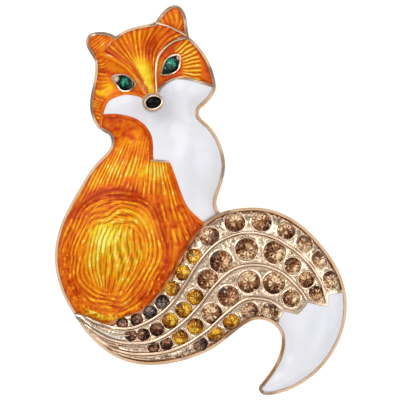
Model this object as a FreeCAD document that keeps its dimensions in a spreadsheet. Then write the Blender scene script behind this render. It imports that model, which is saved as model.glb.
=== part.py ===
import FreeCAD, Part
import math
import os
from FreeCAD import Vector

# Fox brooch: a plated casting with a hollow back, enamel poured into walled cells,
# a jewelled tail and a pin finding on the back.
# It lies on its back: +Z is the front, +Y is up and +X is right as it is worn.
# Origin: middle of the footprint, in the plane of the back rim. Millimetres.

doc = FreeCAD.newDocument("fox_brooch")
sheet = doc.addObject("Spreadsheet::Sheet", "Sizes")

SIZES = [
    # alias, millimetres (a ratio where it says so), meaning
    ("body_edge", 2.5, "height of the body's outline edge above the back rim"),
    ("body_rise", 1.3, "rise of the body's relief above its edge"),
    ("body_roll", 1.4, "distance over which the body's edge rolls up"),
    ("tail_edge", 2.6, "height of the tail's outline edge above the back rim"),
    ("tail_rise", 1.5, "rise of the tail's relief above its edge"),
    ("tail_roll", 1.3, "distance over which the tail's edge rolls up"),
    ("relief_step", 1.6, "spacing of the stations that the relief is faired through"),
    ("roll_outside", 0.8, "how far outside the outline the roll goes on, as a share of it (ratio)"),
    ("slope_reach", 0.5, "distance over which a stone's tilt is taken from the relief"),
    ("rim_width", 0.42, "width of the plated rim round the outline"),
    ("line_width", 0.32, "width of the metal walls between enamel cells"),
    ("pool_depth", 0.42, "depth of an enamel cell below the metal lines"),
    ("enamel_drop", 0.05, "how far the enamel stays below the metal lines"),
    ("fit_gap", 0.03, "gap between enamel or stone and the metal that holds it"),
    ("rib_width", 0.34, "width of the raised ribs on the tail"),
    ("rib_rise", 0.3, "height of the tail's rim and ribs above the stone field"),
    ("eye_bezel", 0.2, "width of the metal wall round an eye"),
    ("eye_depth", 0.3, "depth of the metal floor inside an eye wall"),
    ("eye_stone_lift", 0.1, "height of an eye stone's girdle above that floor"),
    ("nose_half_wide", 1.42, "half width of the nose setting"),
    ("nose_half_tall", 1.24, "half height of the nose setting"),
    ("nose_wall", 0.34, "width of the wall round the nose"),
    ("nose_top", 6.9, "height of the nose setting above the back rim"),
    ("nose_root", 3.8, "height where the nose setting joins the casting"),
    ("nose_pool", 0.5, "depth of the nose cell"),
    ("nose_dome", 0.42, "height of the dome of black enamel"),
    ("nose_ball", 1.25, "radius of the dome's ball as a share of the setting's (ratio)"),
    ("wall_thick", 1.7, "thickness of the casting's front"),
    ("wall_side", 1.6, "thickness of the casting's side walls"),
    ("hollow_depth", 3.3, "greatest depth of the hollow back"),
    ("table_share", 0.56, "table width as a share of a stone's diameter (ratio)"),
    ("crown_share", 0.16, "crown height as a share of a stone's diameter (ratio)"),
    ("girdle_share", 0.05, "girdle height as a share of a stone's diameter (ratio)"),
    ("pavilion_share", 0.36, "depth below the girdle as a share of a stone's diameter (ratio)"),
    ("stone_sink", 0.06, "depth of a girdle's middle below the stone field"),
    ("seat_wall", 2.0, "height of a seat's straight wall above the girdle"),
    ("bar_length", 21.0, "length of the pin finding's bar"),
    ("bar_width", 3.0, "width of the pin finding's bar"),
    ("bar_thick", 0.5, "thickness of the pin finding's bar"),
    ("bar_top", 1.9, "height of the bar's face that is soldered to the casting"),
    ("bar_east", -7.5, "middle of the bar across the brooch"),
    ("bar_north", 2.0, "middle of the bar along the brooch"),
    ("knuckle_round", 0.72, "radius of the pin's hinge knuckle"),
    ("stem_round", 0.38, "radius of the pin stem"),
    ("stem_height", 0.92, "height of the pin stem's middle above the back rim"),
    ("catch_round", 0.8, "outer radius of the catch"),
    ("catch_bore", 0.5, "inner radius of the catch"),
    ("catch_length", 1.8, "length of the catch along the stem"),
    ("catch_inset", 0.6, "distance of the catch from the bar's end"),
    ("mouth_gap", 0.05, "gap between the stem and each lip of the catch's mouth"),
    ("stem_point", 1.6, "length of the stem's point past the catch"),
    ("point_share", 0.2, "radius of the point's tip as a share of the stem's (ratio)"),
    ("pad_side", 3.4, "side of the two pads that the bar is soldered to"),
    ("pad_inset", 0.8, "distance of each pad from the bar's end"),
    ("solder_gap", 0.05, "gap between the bar and its pads"),
]
for row, (alias, value, meaning) in enumerate(SIZES, start=1):
    sheet.set("A%d" % row, meaning)
    sheet.set("B%d" % row, str(value))
    sheet.setAlias("B%d" % row, alias)
doc.recompute()


def size(alias):
    """Read a driving dimension from the sheet."""
    return float(sheet.get(alias))


# Outlines: each stretch is a smooth curve through its points, and stretches meet in corners.
BODY_OUTLINE = [
    # left ear
    [(-14.7, 19.1), (-15.5, 20.6), (-16.0, 22.0), (-15.6, 22.9), (-14.6, 23.3), (-13.2, 23.3), (-11.8, 22.7)],
    # top of the head
    [(-11.8, 22.7), (-9.9, 23.8), (-8.5, 24.2), (-6.3, 24.6)],
    # right ear
    [(-6.3, 24.6), (-4.3, 26.9), (-3.5, 27.1), (-2.8, 26.8), (-1.9, 24.6), (-1.6, 22.6)],
    # right cheek
    [(-1.6, 22.6), (0.9, 19.7), (2.0, 16.7), (2.1, 15.5), (1.6, 14.4), (-0.1, 12.7)],
    # chest
    [(-0.1, 12.7), (-0.2, 11.7), (0.8, 10.6), (2.9, 7.4), (3.4, 4.6), (2.7, 1.5), (2.2, -0.8), (2.7, -1.8)],
    # under the tail
    [(2.7, -1.8), (-0.1, -8.7), (-5.7, -16.1), (-9.9, -18.0), (-14.1, -17.9), (-17.2, -16.5)],
    # haunch and back
    [(-17.2, -16.5), (-19.4, -12.6), (-20.3, -8.1), (-19.5, -3.6), (-16.9, 1.5), (-14.1, 5.5),
     (-12.4, 8.0), (-12.6, 8.8), (-13.3, 9.3)],
    # left jaw
    [(-13.3, 9.3), (-14.6, 10.4), (-15.4, 12.9), (-15.0, 16.0), (-14.7, 19.1)],
]
TAIL_OUTLINE = [
    # upper edge and outer sweep
    [(-17.6, -15.8), (-14.8, -16.5), (-13.0, -17.0), (-11.3, -16.5), (-8.1, -15.2), (-5.0, -11.8),
     (-2.4, -7.0), (-0.4, -4.1), (2.4, -2.0), (5.5, -1.2), (9.4, -1.3), (13.3, -3.0), (16.9, -6.4),
     (19.5, -10.6), (20.3, -14.3), (19.8, -18.1), (18.1, -21.7), (15.3, -24.7), (11.9, -26.6), (9.1, -27.2)],
    # blunt end of the tip
    [(9.1, -27.2), (8.4, -26.9), (8.1, -26.4), (8.3, -25.8)],
    # inner sweep and lower edge
    [(8.3, -25.8), (9.9, -23.7), (11.1, -21.1), (11.1, -18.6), (9.8, -17.1), (7.7, -16.7), (5.0, -18.2),
     (1.7, -20.7), (-2.2, -22.3), (-6.4, -23.0), (-11.3, -22.1), (-15.5, -18.8), (-17.2, -16.5)],
    # root
    [(-17.2, -16.5), (-17.6, -15.8)],
]

# Metal lines that part the enamel cells of the body.
BODY_LINES = {
    "cheek_left": [(-13.6, 11.6), (-13.6, 12.3), (-12.7, 13.9), (-10.6, 14.7), (-8.5, 14.5), (-7.4, 13.7)],
    "cheek_right": [(-6.0, 14.4), (-5.2, 15.8), (-3.4, 16.8), (-0.6, 16.5), (2.3, 15.6)],
    "chin": [(-13.6, 11.6), (-11.3, 11.6), (-8.5, 10.7), (-7.0, 8.7), (-6.8, 6.2), (-6.7, 5.4)],
    "bib_step": [(-6.7, 5.4), (-4.5, 5.2)],
    "bib_side": [(-4.5, 5.2), (-3.7, 3.2), (-2.2, -0.8), (-0.6, -2.6), (1.4, -4.3)],
    "jaw": [(-13.6, 11.6), (-13.9, 10.6), (-13.5, 9.2)],
    "muzzle_right": [(-1.4, 22.7), (-3.9, 21.8), (-5.7, 19.9), (-6.1, 17.4), (-6.0, 14.4)],
    "brow_left": [(-14.9, 19.4), (-13.6, 20.1), (-11.3, 19.0), (-9.3, 17.3), (-7.4, 14.3)],
    "ear_left": [(-15.1, 19.1), (-13.4, 20.9), (-11.7, 23.0)],
    "ear_right": [(-6.7, 24.7), (-4.3, 24.0), (-1.3, 22.4)],
}
# Metal lines between the stone field and the white tip of the tail.
TIP_LINES = {
    "outer": [(20.6, -12.7), (19.0, -12.8), (17.6, -13.1)],
    "outer_side": [(17.6, -13.1), (17.5, -14.6)],
    "middle": [(17.5, -14.6), (16.2, -14.4), (14.8, -14.0)],
    "middle_side": [(14.8, -14.0), (14.2, -14.9), (13.4, -15.7)],
    "inner": [(13.4, -15.7), (12.3, -15.5), (11.5, -15.3)],
    "inner_side": [(11.5, -15.3), (10.9, -16.3), (10.4, -18.4)],
}
# Raised ribs that part the four rows of stones.
RIBS = {
    "upper": [(-16.4, -16.1), (-12.9, -17.5), (-9.8, -17.8), (-6.7, -16.6), (-4.1, -14.5), (-2.0, -11.5),
              (0.0, -8.4), (2.8, -5.7), (6.6, -4.5), (10.5, -5.4), (14.0, -7.8), (16.5, -11.1), (17.5, -14.5)],
    "middle": [(-16.4, -17.1), (-13.0, -19.1), (-9.7, -19.9), (-6.3, -19.5), (-3.1, -17.6), (-0.5, -15.1),
               (1.7, -12.2), (4.5, -9.7), (7.8, -9.0), (11.1, -10.0), (13.6, -12.3), (14.8, -14.0)],
    "lower": [(-15.3, -18.6), (-11.5, -20.9), (-7.4, -21.4), (-3.2, -20.6), (0.6, -18.4), (3.5, -15.8),
              (6.4, -13.8), (9.4, -13.9), (11.5, -15.3)],
}
# Inner edge of the metal wall round each eye, a closed almond.
EYES = {
    "left": [(-12.1, 17.0), (-11.4, 17.2), (-10.4, 17.1), (-9.6, 16.6), (-9.1, 15.9), (-9.7, 15.3),
             (-10.5, 15.1), (-11.2, 15.5), (-11.8, 16.3)],
    "right": [(-5.3, 17.5), (-5.1, 18.3), (-4.7, 19.2), (-4.0, 19.8), (-3.0, 19.9), (-2.9, 19.1),
              (-3.1, 18.3), (-3.7, 17.7), (-4.5, 17.4)],
}
NOSE_PLACE = (-6.55, 13.4)
NOSE_TURN = 10.0

# Swellings of the relief: middle, two radii, turn in degrees, amount of rise.
BODY_SWELLS = [
    # name, x, y, radius_a, radius_b, turn, rise
    ("haunch", -12.2, -7.4, 7.4, 8.8, 0.0, 1.7),
    ("shoulder", -9.0, 3.0, 4.5, 6.0, -20.0, 0.5),
    ("chest", -0.8, 6.2, 3.2, 7.5, 0.0, 1.2),
    ("forehead", -8.2, 19.8, 5.0, 3.6, 0.0, 1.2),
    ("muzzle", -6.9, 14.4, 2.1, 4.0, 12.0, 2.3),
    ("cheek_left", -11.2, 12.8, 2.4, 1.8, 15.0, 0.7),
    ("cheek_right", -1.6, 14.4, 2.4, 2.4, 0.0, 0.9),
    ("throat", -4.6, 11.2, 1.8, 1.5, 0.0, -0.5),
    ("ear_left", -14.2, 21.6, 1.8, 1.6, 0.0, -0.9),
    ("ear_right", -3.6, 25.3, 1.9, 2.0, 0.0, -1.0),
    ("eye_left", -10.6, 16.2, 1.6, 1.1, -20.0, -0.5),
    ("eye_right", -4.1, 18.6, 1.2, 1.7, -30.0, -0.6),
]
TAIL_SWELLS = [
    ("crest", 6.0, -8.5, 9.0, 6.0, 0.0, 0.9),
    ("tip", 14.5, -20.0, 4.0, 5.0, -25.0, 0.4),
    ("root", -14.0, -18.5, 5.0, 3.0, -20.0, -0.3),
]
# The tail's edge is lifted where it lies over the haunch.
TAIL_LIFT = ("over_haunch", -7.5, -10.5, 16.0, 5.5, 38.0, 2.4)

# Stones: place and diameter, row by row from the root to the tip.
STONE_ROWS = {
    "upper": [
        # x, y, diameter
        (-10.8, -17.1, 1.58), (-8.8, -16.6, 1.7), (-7.0, -15.6, 1.85), (-5.3, -14.2, 1.9), (-3.9, -12.3, 2.05),
        (-2.5, -10.1, 2.15), (-0.9, -7.8, 2.2), (1.3, -5.1, 2.6), (4.8, -3.2, 2.7), (8.5, -3.1, 2.7),
        (11.9, -4.3, 2.4), (14.4, -6.1, 2.2), (16.5, -8.3, 2.15), (18.1, -11.1, 2.3),
    ],
    "second": [
        (-9.6, -18.85, 1.6), (-7.9, -18.75, 1.7), (-6.0, -18.0, 1.85), (-4.2, -16.8, 2.1), (-2.3, -15.3, 2.2),
        (-0.7, -13.5, 2.2), (1.0, -11.1, 2.8), (2.9, -8.6, 3.0), (6.4, -6.9, 3.0), (10.3, -7.3, 3.0),
        (12.8, -9.2, 2.25), (14.7, -11.1, 2.1), (16.1, -13.0, 2.0),
    ],
    "third": [
        (-6.5, -20.45, 1.6), (-4.7, -20.0, 1.7), (-2.8, -19.1, 2.1), (-0.7, -17.6, 2.2), (1.6, -15.8, 2.75),
        (3.9, -13.4, 2.85), (6.7, -11.4, 3.0), (10.2, -11.6, 2.9), (12.6, -13.7, 2.3),
    ],
    "lower": [
        (0.0, -20.1, 2.0), (2.1, -18.7, 2.2), (4.3, -17.0, 2.25), (6.8, -15.4, 2.3), (9.6, -15.5, 2.3),
    ],
}
EYE_STONES = {
    # x, y, diameter
    "left": (-10.3, 16.1, 1.88),
    "right": (-4.1, 18.6, 1.94),
}

# Reach of a cutting prism above the back rim and below it, and depth of the solid under a relief.
HIGH = 12.0
BELOW = 1.0
DEEP = 12.0
# Stations of a strip for each point of its line, and stations round an outline.
STRIP_STATIONS = 4
BORDER_STATIONS = 320


def curve(points):
    """A smooth curve in the ground plane through hand-placed points."""
    stops = [Vector(x, y, 0) for x, y in points]
    if len(stops) == 2:
        return Part.LineSegment(stops[0], stops[1])
    spline = Part.BSplineCurve()
    spline.interpolate(stops)
    return spline


def outline_face(stretches):
    """The flat face inside stretches that meet end to end."""
    edges = [curve(points).toShape() for points in stretches]
    return Part.Face(Part.Wire(edges))


def loop_face(points):
    """The flat face inside one smooth closed curve."""
    spline = Part.BSplineCurve()
    spline.interpolate([Vector(x, y, 0) for x, y in points], PeriodicFlag=True)
    return Part.Face(Part.Wire([spline.toShape()]))


def grown(face, distance):
    """The face with its outline moved outward, or inward if the distance is negative, as plain splines."""
    return face.makeOffset2D(distance, 0, False, False, True).toNurbs().Faces[0]


def disk(x, y, radius):
    """A flat disk."""
    return Part.Face(Part.Wire([Part.Circle(Vector(x, y, 0), Vector(0, 0, 1), radius).toShape()]))


def band(points, width):
    """The flat strip of a given width along a curve, with round ends, as a list of faces."""
    line = curve(points)
    half = width / 2
    first, last = line.FirstParameter, line.LastParameter
    count = STRIP_STATIONS * len(points)
    left, right = [], []
    for index in range(count + 1):
        at = first + (last - first) * index / count
        place = line.value(at)
        along = line.tangent(at)[0]
        side = Vector(-along.y, along.x, 0) * half
        left.append(place + side)
        right.append(place - side)
    edges = []
    for stops in (left, right):
        spline = Part.BSplineCurve()
        spline.interpolate(stops)
        edges.append(spline.toShape())
    near = Part.LineSegment(left[0], right[0]).toShape()
    far = Part.LineSegment(left[-1], right[-1]).toShape()
    strip = Part.Face(Part.Wire([edges[0], far, edges[1], near]))
    return [strip, disk(*points[0], half), disk(*points[-1], half)]


def bands(lines, width):
    """The strips along every line of a table."""
    return [face for points in lines.values() for face in band(points, width)]


def prism(face, low=0.0, high=HIGH):
    """A flat face carried straight up from one height to another."""
    return face.translated(Vector(0, 0, low)).extrude(Vector(0, 0, high - low))


def swell(entry, x, y):
    """Height of one swelling at a place: a bell of two radii, turned."""
    name, at_x, at_y, radius_a, radius_b, turn, rise = entry
    angle = math.radians(turn)
    east, north = x - at_x, y - at_y
    along = east * math.cos(angle) + north * math.sin(angle)
    across = north * math.cos(angle) - east * math.sin(angle)
    return rise * math.exp(-(along / radius_a) ** 2 - (across / radius_b) ** 2)


class Relief:
    """The domed front of a piece: edge height, plus a rise that rolls up from the outline."""

    def __init__(self, face, edge, rise, roll, swells, lift=None):
        self.edge, self.rise, self.roll = edge, rise, roll
        self.swells, self.lift = swells, lift
        self.border = face.OuterWire.discretize(BORDER_STATIONS)
        self.box = face.BoundBox
        self.solid = self.fair()

    def inset(self, x, y):
        """Distance from the outline, positive inside it."""
        nearest, inside = 1e9, False
        for a, b in zip(self.border, self.border[1:] + self.border[:1]):
            run_x, run_y = b.x - a.x, b.y - a.y
            length = run_x * run_x + run_y * run_y
            if length < 1e-12:
                continue
            share = ((x - a.x) * run_x + (y - a.y) * run_y) / length
            share = min(1.0, max(0.0, share))
            nearest = min(nearest, math.hypot(x - a.x - share * run_x, y - a.y - share * run_y))
            if (a.y > y) != (b.y > y) and x < a.x + (y - a.y) / run_y * run_x:
                inside = not inside
        return nearest if inside else -nearest

    def height(self, x, y):
        """Height of the front above the back rim."""
        inset = max(self.inset(x, y), -size("roll_outside") * self.roll)
        roll = 1 - math.exp(-inset / self.roll)
        rise = self.rise + sum(swell(entry, x, y) for entry in self.swells)
        lift = swell(self.lift, x, y) if self.lift else 0.0
        return self.edge + lift + roll * rise

    def fair(self):
        """Pass one smooth surface through the heights and fill the space under it."""
        step = size("relief_step")
        margin = 2 * step
        columns = math.ceil((self.box.XLength + 2 * margin) / step)
        rows = math.ceil((self.box.YLength + 2 * margin) / step)
        grid = []
        for column in range(columns + 1):
            x = self.box.XMin - margin + column * step
            line = []
            for row in range(rows + 1):
                y = self.box.YMin - margin + row * step
                line.append(Vector(x, y, self.height(x, y)))
            grid.append(line)
        surface = Part.BSplineSurface()
        surface.interpolate(grid)
        return surface.toShape().extrude(Vector(0, 0, -DEEP))

    def under(self, face, drop=0.0, low=0.0):
        """The solid over a flat face, up to the front lowered by 'drop'."""
        return prism(face, low).common(self.solid.translated(Vector(0, 0, -drop)))

    def above(self, face, drop):
        """The space over a flat face, above the front lowered by 'drop'."""
        return prism(face).cut(self.solid.translated(Vector(0, 0, -drop)))

    def normal(self, x, y):
        """Outward direction of the front at a place."""
        reach = size("slope_reach")
        slope_x = (self.height(x + reach, y) - self.height(x - reach, y)) / (2 * reach)
        slope_y = (self.height(x, y + reach) - self.height(x, y - reach)) / (2 * reach)
        return Vector(-slope_x, -slope_y, 1).normalize()


def cell(faces, x, y):
    """The one face of a divided outline that holds a place."""
    spot = Part.Vertex(x, y, 0)
    found = [face for face in faces if face.distToShape(spot)[0] < 1e-6]
    return found[0]


def biggest(shape):
    """The largest solid of a shape, which drops loose slivers."""
    return max(shape.Solids, key=lambda solid: solid.Volume)


# Flat layout
body_face = outline_face(BODY_OUTLINE)
tail_face = outline_face(TAIL_OUTLINE)
body_relief = Relief(body_face, size("body_edge"), size("body_rise"), size("body_roll"), BODY_SWELLS)
tail_relief = Relief(tail_face, size("tail_edge"), size("tail_rise"), size("tail_roll"), TAIL_SWELLS, TAIL_LIFT)
eye_faces = {side: loop_face(points) for side, points in EYES.items()}


def nose_face(inset):
    """The nose setting's ellipse, drawn in by 'inset'."""
    long_half = size("nose_half_wide") - inset
    short_half = size("nose_half_tall") - inset
    ellipse = Part.Ellipse(Vector(0, 0, 0), long_half, short_half)
    edge = ellipse.toShape()
    edge.rotate(Vector(0, 0, 0), Vector(0, 0, 1), NOSE_TURN)
    edge.translate(Vector(NOSE_PLACE[0], NOSE_PLACE[1], 0))
    return Part.Face(Part.Wire([edge]))


CELLS = {
    # enamel piece: a place inside its cell
    "enamel_ear_left": (-14.2, 21.6),
    "enamel_ear_right": (-3.6, 25.3),
    "enamel_forehead": (-8.5, 20.5),
    "enamel_face_left": (-13.2, 16.0),
    "enamel_face_right": (-0.5, 18.6),
    "enamel_body": (-12.0, -5.0),
    "enamel_chest": (0.0, 8.0),
}


def body_cells(gap):
    """The cells of the body, each drawn in by 'gap'."""
    field = grown(body_face, -size("rim_width") - gap)
    metal = bands(BODY_LINES, size("line_width") + 2 * gap)
    metal += [grown(face, size("eye_bezel") + gap) for face in eye_faces.values()]
    metal.append(nose_face(-gap))
    if gap:
        metal.append(grown(tail_face, gap))
    return field.cut(metal).Faces


TIP_SPOT = (15.0, -21.0)


def tail_cells(gap):
    """The stone fields and the white cell of the tail, each drawn in by 'gap'."""
    field = grown(tail_face, -size("rim_width") - gap)
    metal = bands(TIP_LINES, size("line_width") + 2 * gap) + bands(RIBS, size("rib_width"))
    return field.cut(metal).Faces


# How far the corners between table and girdle stand out of the straight slope (ratio).
STAR_BULGE = 1.03


def brilliant(diameter):
    """A round cut stone as one closed solid: table, crown facets, girdle and pavilion."""
    radius = diameter / 2
    table = radius * size("table_share")
    crown = diameter * size("crown_share")
    girdle = diameter * size("girdle_share") / 2
    depth = diameter * size("pavilion_share")
    rings = [
        # radius, height, corners, turn in corners of sixteen
        (table, crown + girdle, 8, 0.0),
        ((table + radius) / 2 * STAR_BULGE, crown / 2 + girdle, 8, 1.0),
        (radius, girdle, 16, 0.0),
        (radius, -girdle, 16, 0.0),
    ]
    corners = []
    for reach, height, count, turn in rings:
        ring = []
        for index in range(count):
            angle = 2 * math.pi * (index * 16 / count + turn) / 16
            ring.append(Vector(reach * math.cos(angle), reach * math.sin(angle), height))
        corners.append(ring)
    table_ring, star_ring, girdle_top, girdle_low = corners
    culet = Vector(0, 0, -girdle - depth)
    facets = [table_ring]
    for index in range(8):
        after = (index + 1) % 8
        left, middle, right = girdle_top[2 * index], girdle_top[2 * index + 1], girdle_top[(2 * index + 2) % 16]
        facets.append([table_ring[index], star_ring[index], table_ring[after]])
        facets.append([table_ring[index], left, star_ring[index]])
        facets.append([star_ring[index], right, table_ring[after]])
        facets.append([star_ring[index], left, middle])
        facets.append([star_ring[index], middle, right])
    for index in range(16):
        after = (index + 1) % 16
        facets.append([girdle_top[index], girdle_low[index], girdle_low[after], girdle_top[after]])
    for index in range(8):
        left, middle, right = girdle_low[2 * index], girdle_low[2 * index + 1], girdle_low[(2 * index + 2) % 16]
        facets.append([left, culet, middle])
        facets.append([middle, culet, right])
    faces = [Part.Face(Part.makePolygon(facet + facet[:1])) for facet in facets]
    return Part.Solid(Part.Shell(faces))


def stone_seat(diameter, placement):
    """The drilled seat of a stone: a cone under the girdle and a straight wall above it."""
    gap = size("fit_gap")
    radius = diameter / 2 + gap
    girdle = diameter * size("girdle_share") / 2
    depth = diameter * size("pavilion_share") + gap
    cone = Part.makeCone(0, radius, depth, Vector(0, 0, -girdle - depth))
    wall = Part.makeCylinder(radius, girdle + size("seat_wall"), Vector(0, 0, -girdle))
    seat = cone.fuse(wall).removeSplitter()
    seat.Placement = placement
    return seat


def facing(place, outward):
    """The placement that stands a stone on a place with its table turned outward."""
    return FreeCAD.Placement(place, FreeCAD.Rotation(Vector(0, 0, 1), outward))


def tail_stones():
    """Name, diameter and placement of every stone on the tail."""
    stones = []
    for row_name, row_stones in STONE_ROWS.items():
        for number, (x, y, diameter) in enumerate(row_stones, start=1):
            outward = tail_relief.normal(x, y)
            field = tail_relief.height(x, y) - size("rib_rise")
            place = Vector(x, y, field) - outward * size("stone_sink")
            stones.append(("stone_%s_%02d" % (row_name, number), diameter, facing(place, outward)))
    return stones


def eye_stones():
    """Name, diameter and placement of the two eye stones."""
    stones = []
    for side, (x, y, diameter) in EYE_STONES.items():
        floor = body_relief.height(x, y) - size("eye_depth")
        place = Vector(x, y, floor + size("eye_stone_lift"))
        stones.append(("stone_eye_%s" % side, diameter, facing(place, body_relief.normal(x, y))))
    return stones


def hollows():
    """The two spaces behind the casting, without the pads that carry the pin finding."""
    side = size("pad_side")
    reach = (size("bar_length") - side) / 2 - size("pad_inset")
    pads = []
    for offset in (-reach, reach):
        corner = Vector(size("bar_east") - side / 2, size("bar_north") + offset - side / 2,
                        size("bar_top") + size("solder_gap"))
        pads.append(Part.makeBox(side, side, HIGH, corner))
    spaces = []
    for face, relief in ((body_face, body_relief), (tail_face, tail_relief)):
        inset = grown(face, -size("wall_side"))
        space = prism(inset, -BELOW, size("hollow_depth"))
        spaces.append(space.common(relief.solid.translated(Vector(0, 0, -size("wall_thick")))))
    return [spaces[0].cut(pads), spaces[1]]


stones = tail_stones() + eye_stones()
cells = body_cells(0.0)
body_cuts = [body_relief.above(cell(cells, x, y), size("pool_depth")) for x, y in CELLS.values()]
body_cuts += [body_relief.above(face, size("eye_depth")) for face in eye_faces.values()]
body = body_relief.under(body_face).cut(body_cuts)

fields = tail_cells(0.0)
tip = cell(fields, *TIP_SPOT)
tail_cuts = [tail_relief.above(tip, size("pool_depth"))]
tail_cuts += [tail_relief.above(face, size("rib_rise")) for face in fields if not face.isSame(tip)]
tail = tail_relief.under(tail_face).cut(tail_cuts)

casting = body.fuse(tail)
casting = casting.fuse(prism(nose_face(0.0), size("nose_root"), size("nose_top")))
casting = casting.cut(prism(nose_face(size("nose_wall")), size("nose_top") - size("nose_pool")))
casting = casting.cut(hollows())
casting = casting.cut([stone_seat(diameter, placement) for name, diameter, placement in stones])
casting = biggest(casting)


def add_piece(name, shape, placement=FreeCAD.Placement()):
    """Put a finished solid into the document as a named piece."""
    piece = doc.addObject("Part::Feature", name)
    piece.Label = name
    piece.Shape = shape
    piece.Placement = placement
    return piece


pieces = [add_piece("cast_body", casting)]

# Enamel
gap = size("fit_gap")
floor_drop = size("pool_depth") - gap
enamel_cells = body_cells(gap)
for name, (x, y) in CELLS.items():
    layer = body_relief.under(cell(enamel_cells, x, y), size("enamel_drop"))
    layer = layer.cut(body_relief.solid.translated(Vector(0, 0, -floor_drop)))
    pieces.append(add_piece(name, biggest(layer)))
layer = tail_relief.under(cell(tail_cells(gap), *TIP_SPOT), size("enamel_drop"))
layer = layer.cut(tail_relief.solid.translated(Vector(0, 0, -floor_drop)))
pieces.append(add_piece("enamel_tail_tip", biggest(layer)))


def nose_enamel():
    """The black drop in the nose setting: a short elliptic wall under a dome."""
    inset = size("nose_wall") + gap
    low = size("nose_top") - size("nose_pool") + gap
    wall = prism(nose_face(inset), low, size("nose_top") + size("nose_dome"))
    ball = Part.makeSphere(1.0)
    stretch = FreeCAD.Matrix()
    share = size("nose_ball")
    high = size("nose_pool") + size("nose_dome")
    stretch.scale(share * size("nose_half_wide"), share * size("nose_half_tall"), high)
    dome = ball.transformGeometry(stretch)
    dome.rotate(Vector(0, 0, 0), Vector(0, 0, 1), NOSE_TURN)
    dome.translate(Vector(NOSE_PLACE[0], NOSE_PLACE[1], low - gap))
    return wall.common(dome)


pieces.append(add_piece("enamel_nose", nose_enamel()))

# Stones
for name, diameter, placement in stones:
    pieces.append(add_piece(name, brilliant(diameter), placement))


# Pin finding: bar, hinge knuckle, stem and catch in one piece
def bound(kind, name, **expressions):
    """A primitive whose sizes and place follow the sheet."""
    item = doc.addObject(kind, name)
    for prop, expression in expressions.items():
        item.setExpression(prop.replace("__", "."), expression)
    return item


def lie_along(item, axis):
    """Turn a cylinder or cone so that it runs along an axis of the brooch."""
    item.Placement = FreeCAD.Placement(Vector(0, 0, 0), FreeCAD.Rotation(Vector(0, 0, 1), axis))
    return item


bar = bound(
    "Part::Box", "PinBar",
    Length="Sizes.bar_width", Width="Sizes.bar_length", Height="Sizes.bar_thick",
    Placement__Base__x="Sizes.bar_east - Sizes.bar_width / 2",
    Placement__Base__y="Sizes.bar_north - Sizes.bar_length / 2",
    Placement__Base__z="Sizes.bar_top - Sizes.bar_thick",
)
knuckle = lie_along(doc.addObject("Part::Cylinder", "PinKnuckle"), Vector(1, 0, 0))
knuckle.setExpression("Radius", "Sizes.knuckle_round")
knuckle.setExpression("Height", "Sizes.bar_width")
knuckle.setExpression("Placement.Base.x", "Sizes.bar_east - Sizes.bar_width / 2")
knuckle.setExpression("Placement.Base.y", "Sizes.bar_north + Sizes.bar_length / 2 - Sizes.knuckle_round")
knuckle.setExpression("Placement.Base.z", "Sizes.stem_height")
stem = lie_along(doc.addObject("Part::Cylinder", "PinStem"), Vector(0, -1, 0))
stem.setExpression("Radius", "Sizes.stem_round")
stem.setExpression("Height", "Sizes.bar_length - Sizes.knuckle_round")
stem.setExpression("Placement.Base.x", "Sizes.bar_east")
stem.setExpression("Placement.Base.y", "Sizes.bar_north + Sizes.bar_length / 2 - Sizes.knuckle_round")
stem.setExpression("Placement.Base.z", "Sizes.stem_height")
point = lie_along(doc.addObject("Part::Cone", "PinPoint"), Vector(0, -1, 0))
point.setExpression("Radius1", "Sizes.stem_round")
point.setExpression("Radius2", "Sizes.stem_round * Sizes.point_share")
point.setExpression("Height", "Sizes.stem_point")
point.setExpression("Placement.Base.x", "Sizes.bar_east")
point.setExpression("Placement.Base.y", "Sizes.bar_north - Sizes.bar_length / 2")
point.setExpression("Placement.Base.z", "Sizes.stem_height")
catch_outer = lie_along(doc.addObject("Part::Cylinder", "CatchOuter"), Vector(0, 1, 0))
catch_inner = lie_along(doc.addObject("Part::Cylinder", "CatchInner"), Vector(0, 1, 0))
for item, radius in ((catch_outer, "Sizes.catch_round"), (catch_inner, "Sizes.catch_bore")):
    item.setExpression("Radius", radius)
    item.setExpression("Height", "Sizes.catch_length")
    item.setExpression("Placement.Base.x", "Sizes.bar_east")
    item.setExpression("Placement.Base.y", "Sizes.bar_north - Sizes.bar_length / 2 + Sizes.catch_inset")
    item.setExpression("Placement.Base.z", "Sizes.stem_height")
catch_mouth = bound(
    "Part::Box", "CatchMouth",
    Length="Sizes.catch_round * 2", Width="Sizes.catch_length",
    Height="Sizes.stem_round * 2 + Sizes.mouth_gap * 2",
    Placement__Base__x="Sizes.bar_east",
    Placement__Base__y="Sizes.bar_north - Sizes.bar_length / 2 + Sizes.catch_inset",
    Placement__Base__z="Sizes.stem_height - Sizes.stem_round - Sizes.mouth_gap",
)
catch_space = doc.addObject("Part::MultiFuse", "CatchSpace")
catch_space.Shapes = [catch_inner, catch_mouth]
catch = doc.addObject("Part::Cut", "PinCatch")
catch.Base = catch_outer
catch.Tool = catch_space
pin_clasp = doc.addObject("Part::MultiFuse", "pin_clasp")
pin_clasp.Shapes = [bar, knuckle, stem, point, catch]
pin_clasp.Label = "pin_clasp"
pieces.append(pin_clasp)

doc.recompute()

for item in doc.Objects:
    if "Invalid" in item.State or "Error" in item.State:
        raise RuntimeError("%s failed to recompute" % item.Name)
for piece in pieces:
    if piece.Shape.isNull() or not piece.Shape.isValid():
        raise RuntimeError("%s has no valid shape" % piece.Label)
    if len(piece.Shape.Solids) != 1:
        raise RuntimeError("%s is not one solid" % piece.Label)

os.makedirs("parts", exist_ok=True)
for piece in pieces:
    piece.Shape.exportStep("parts/%s.step" % piece.Label)
    print("%-22s %9.2f mm3" % (piece.Label, piece.Shape.Volume))
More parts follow.
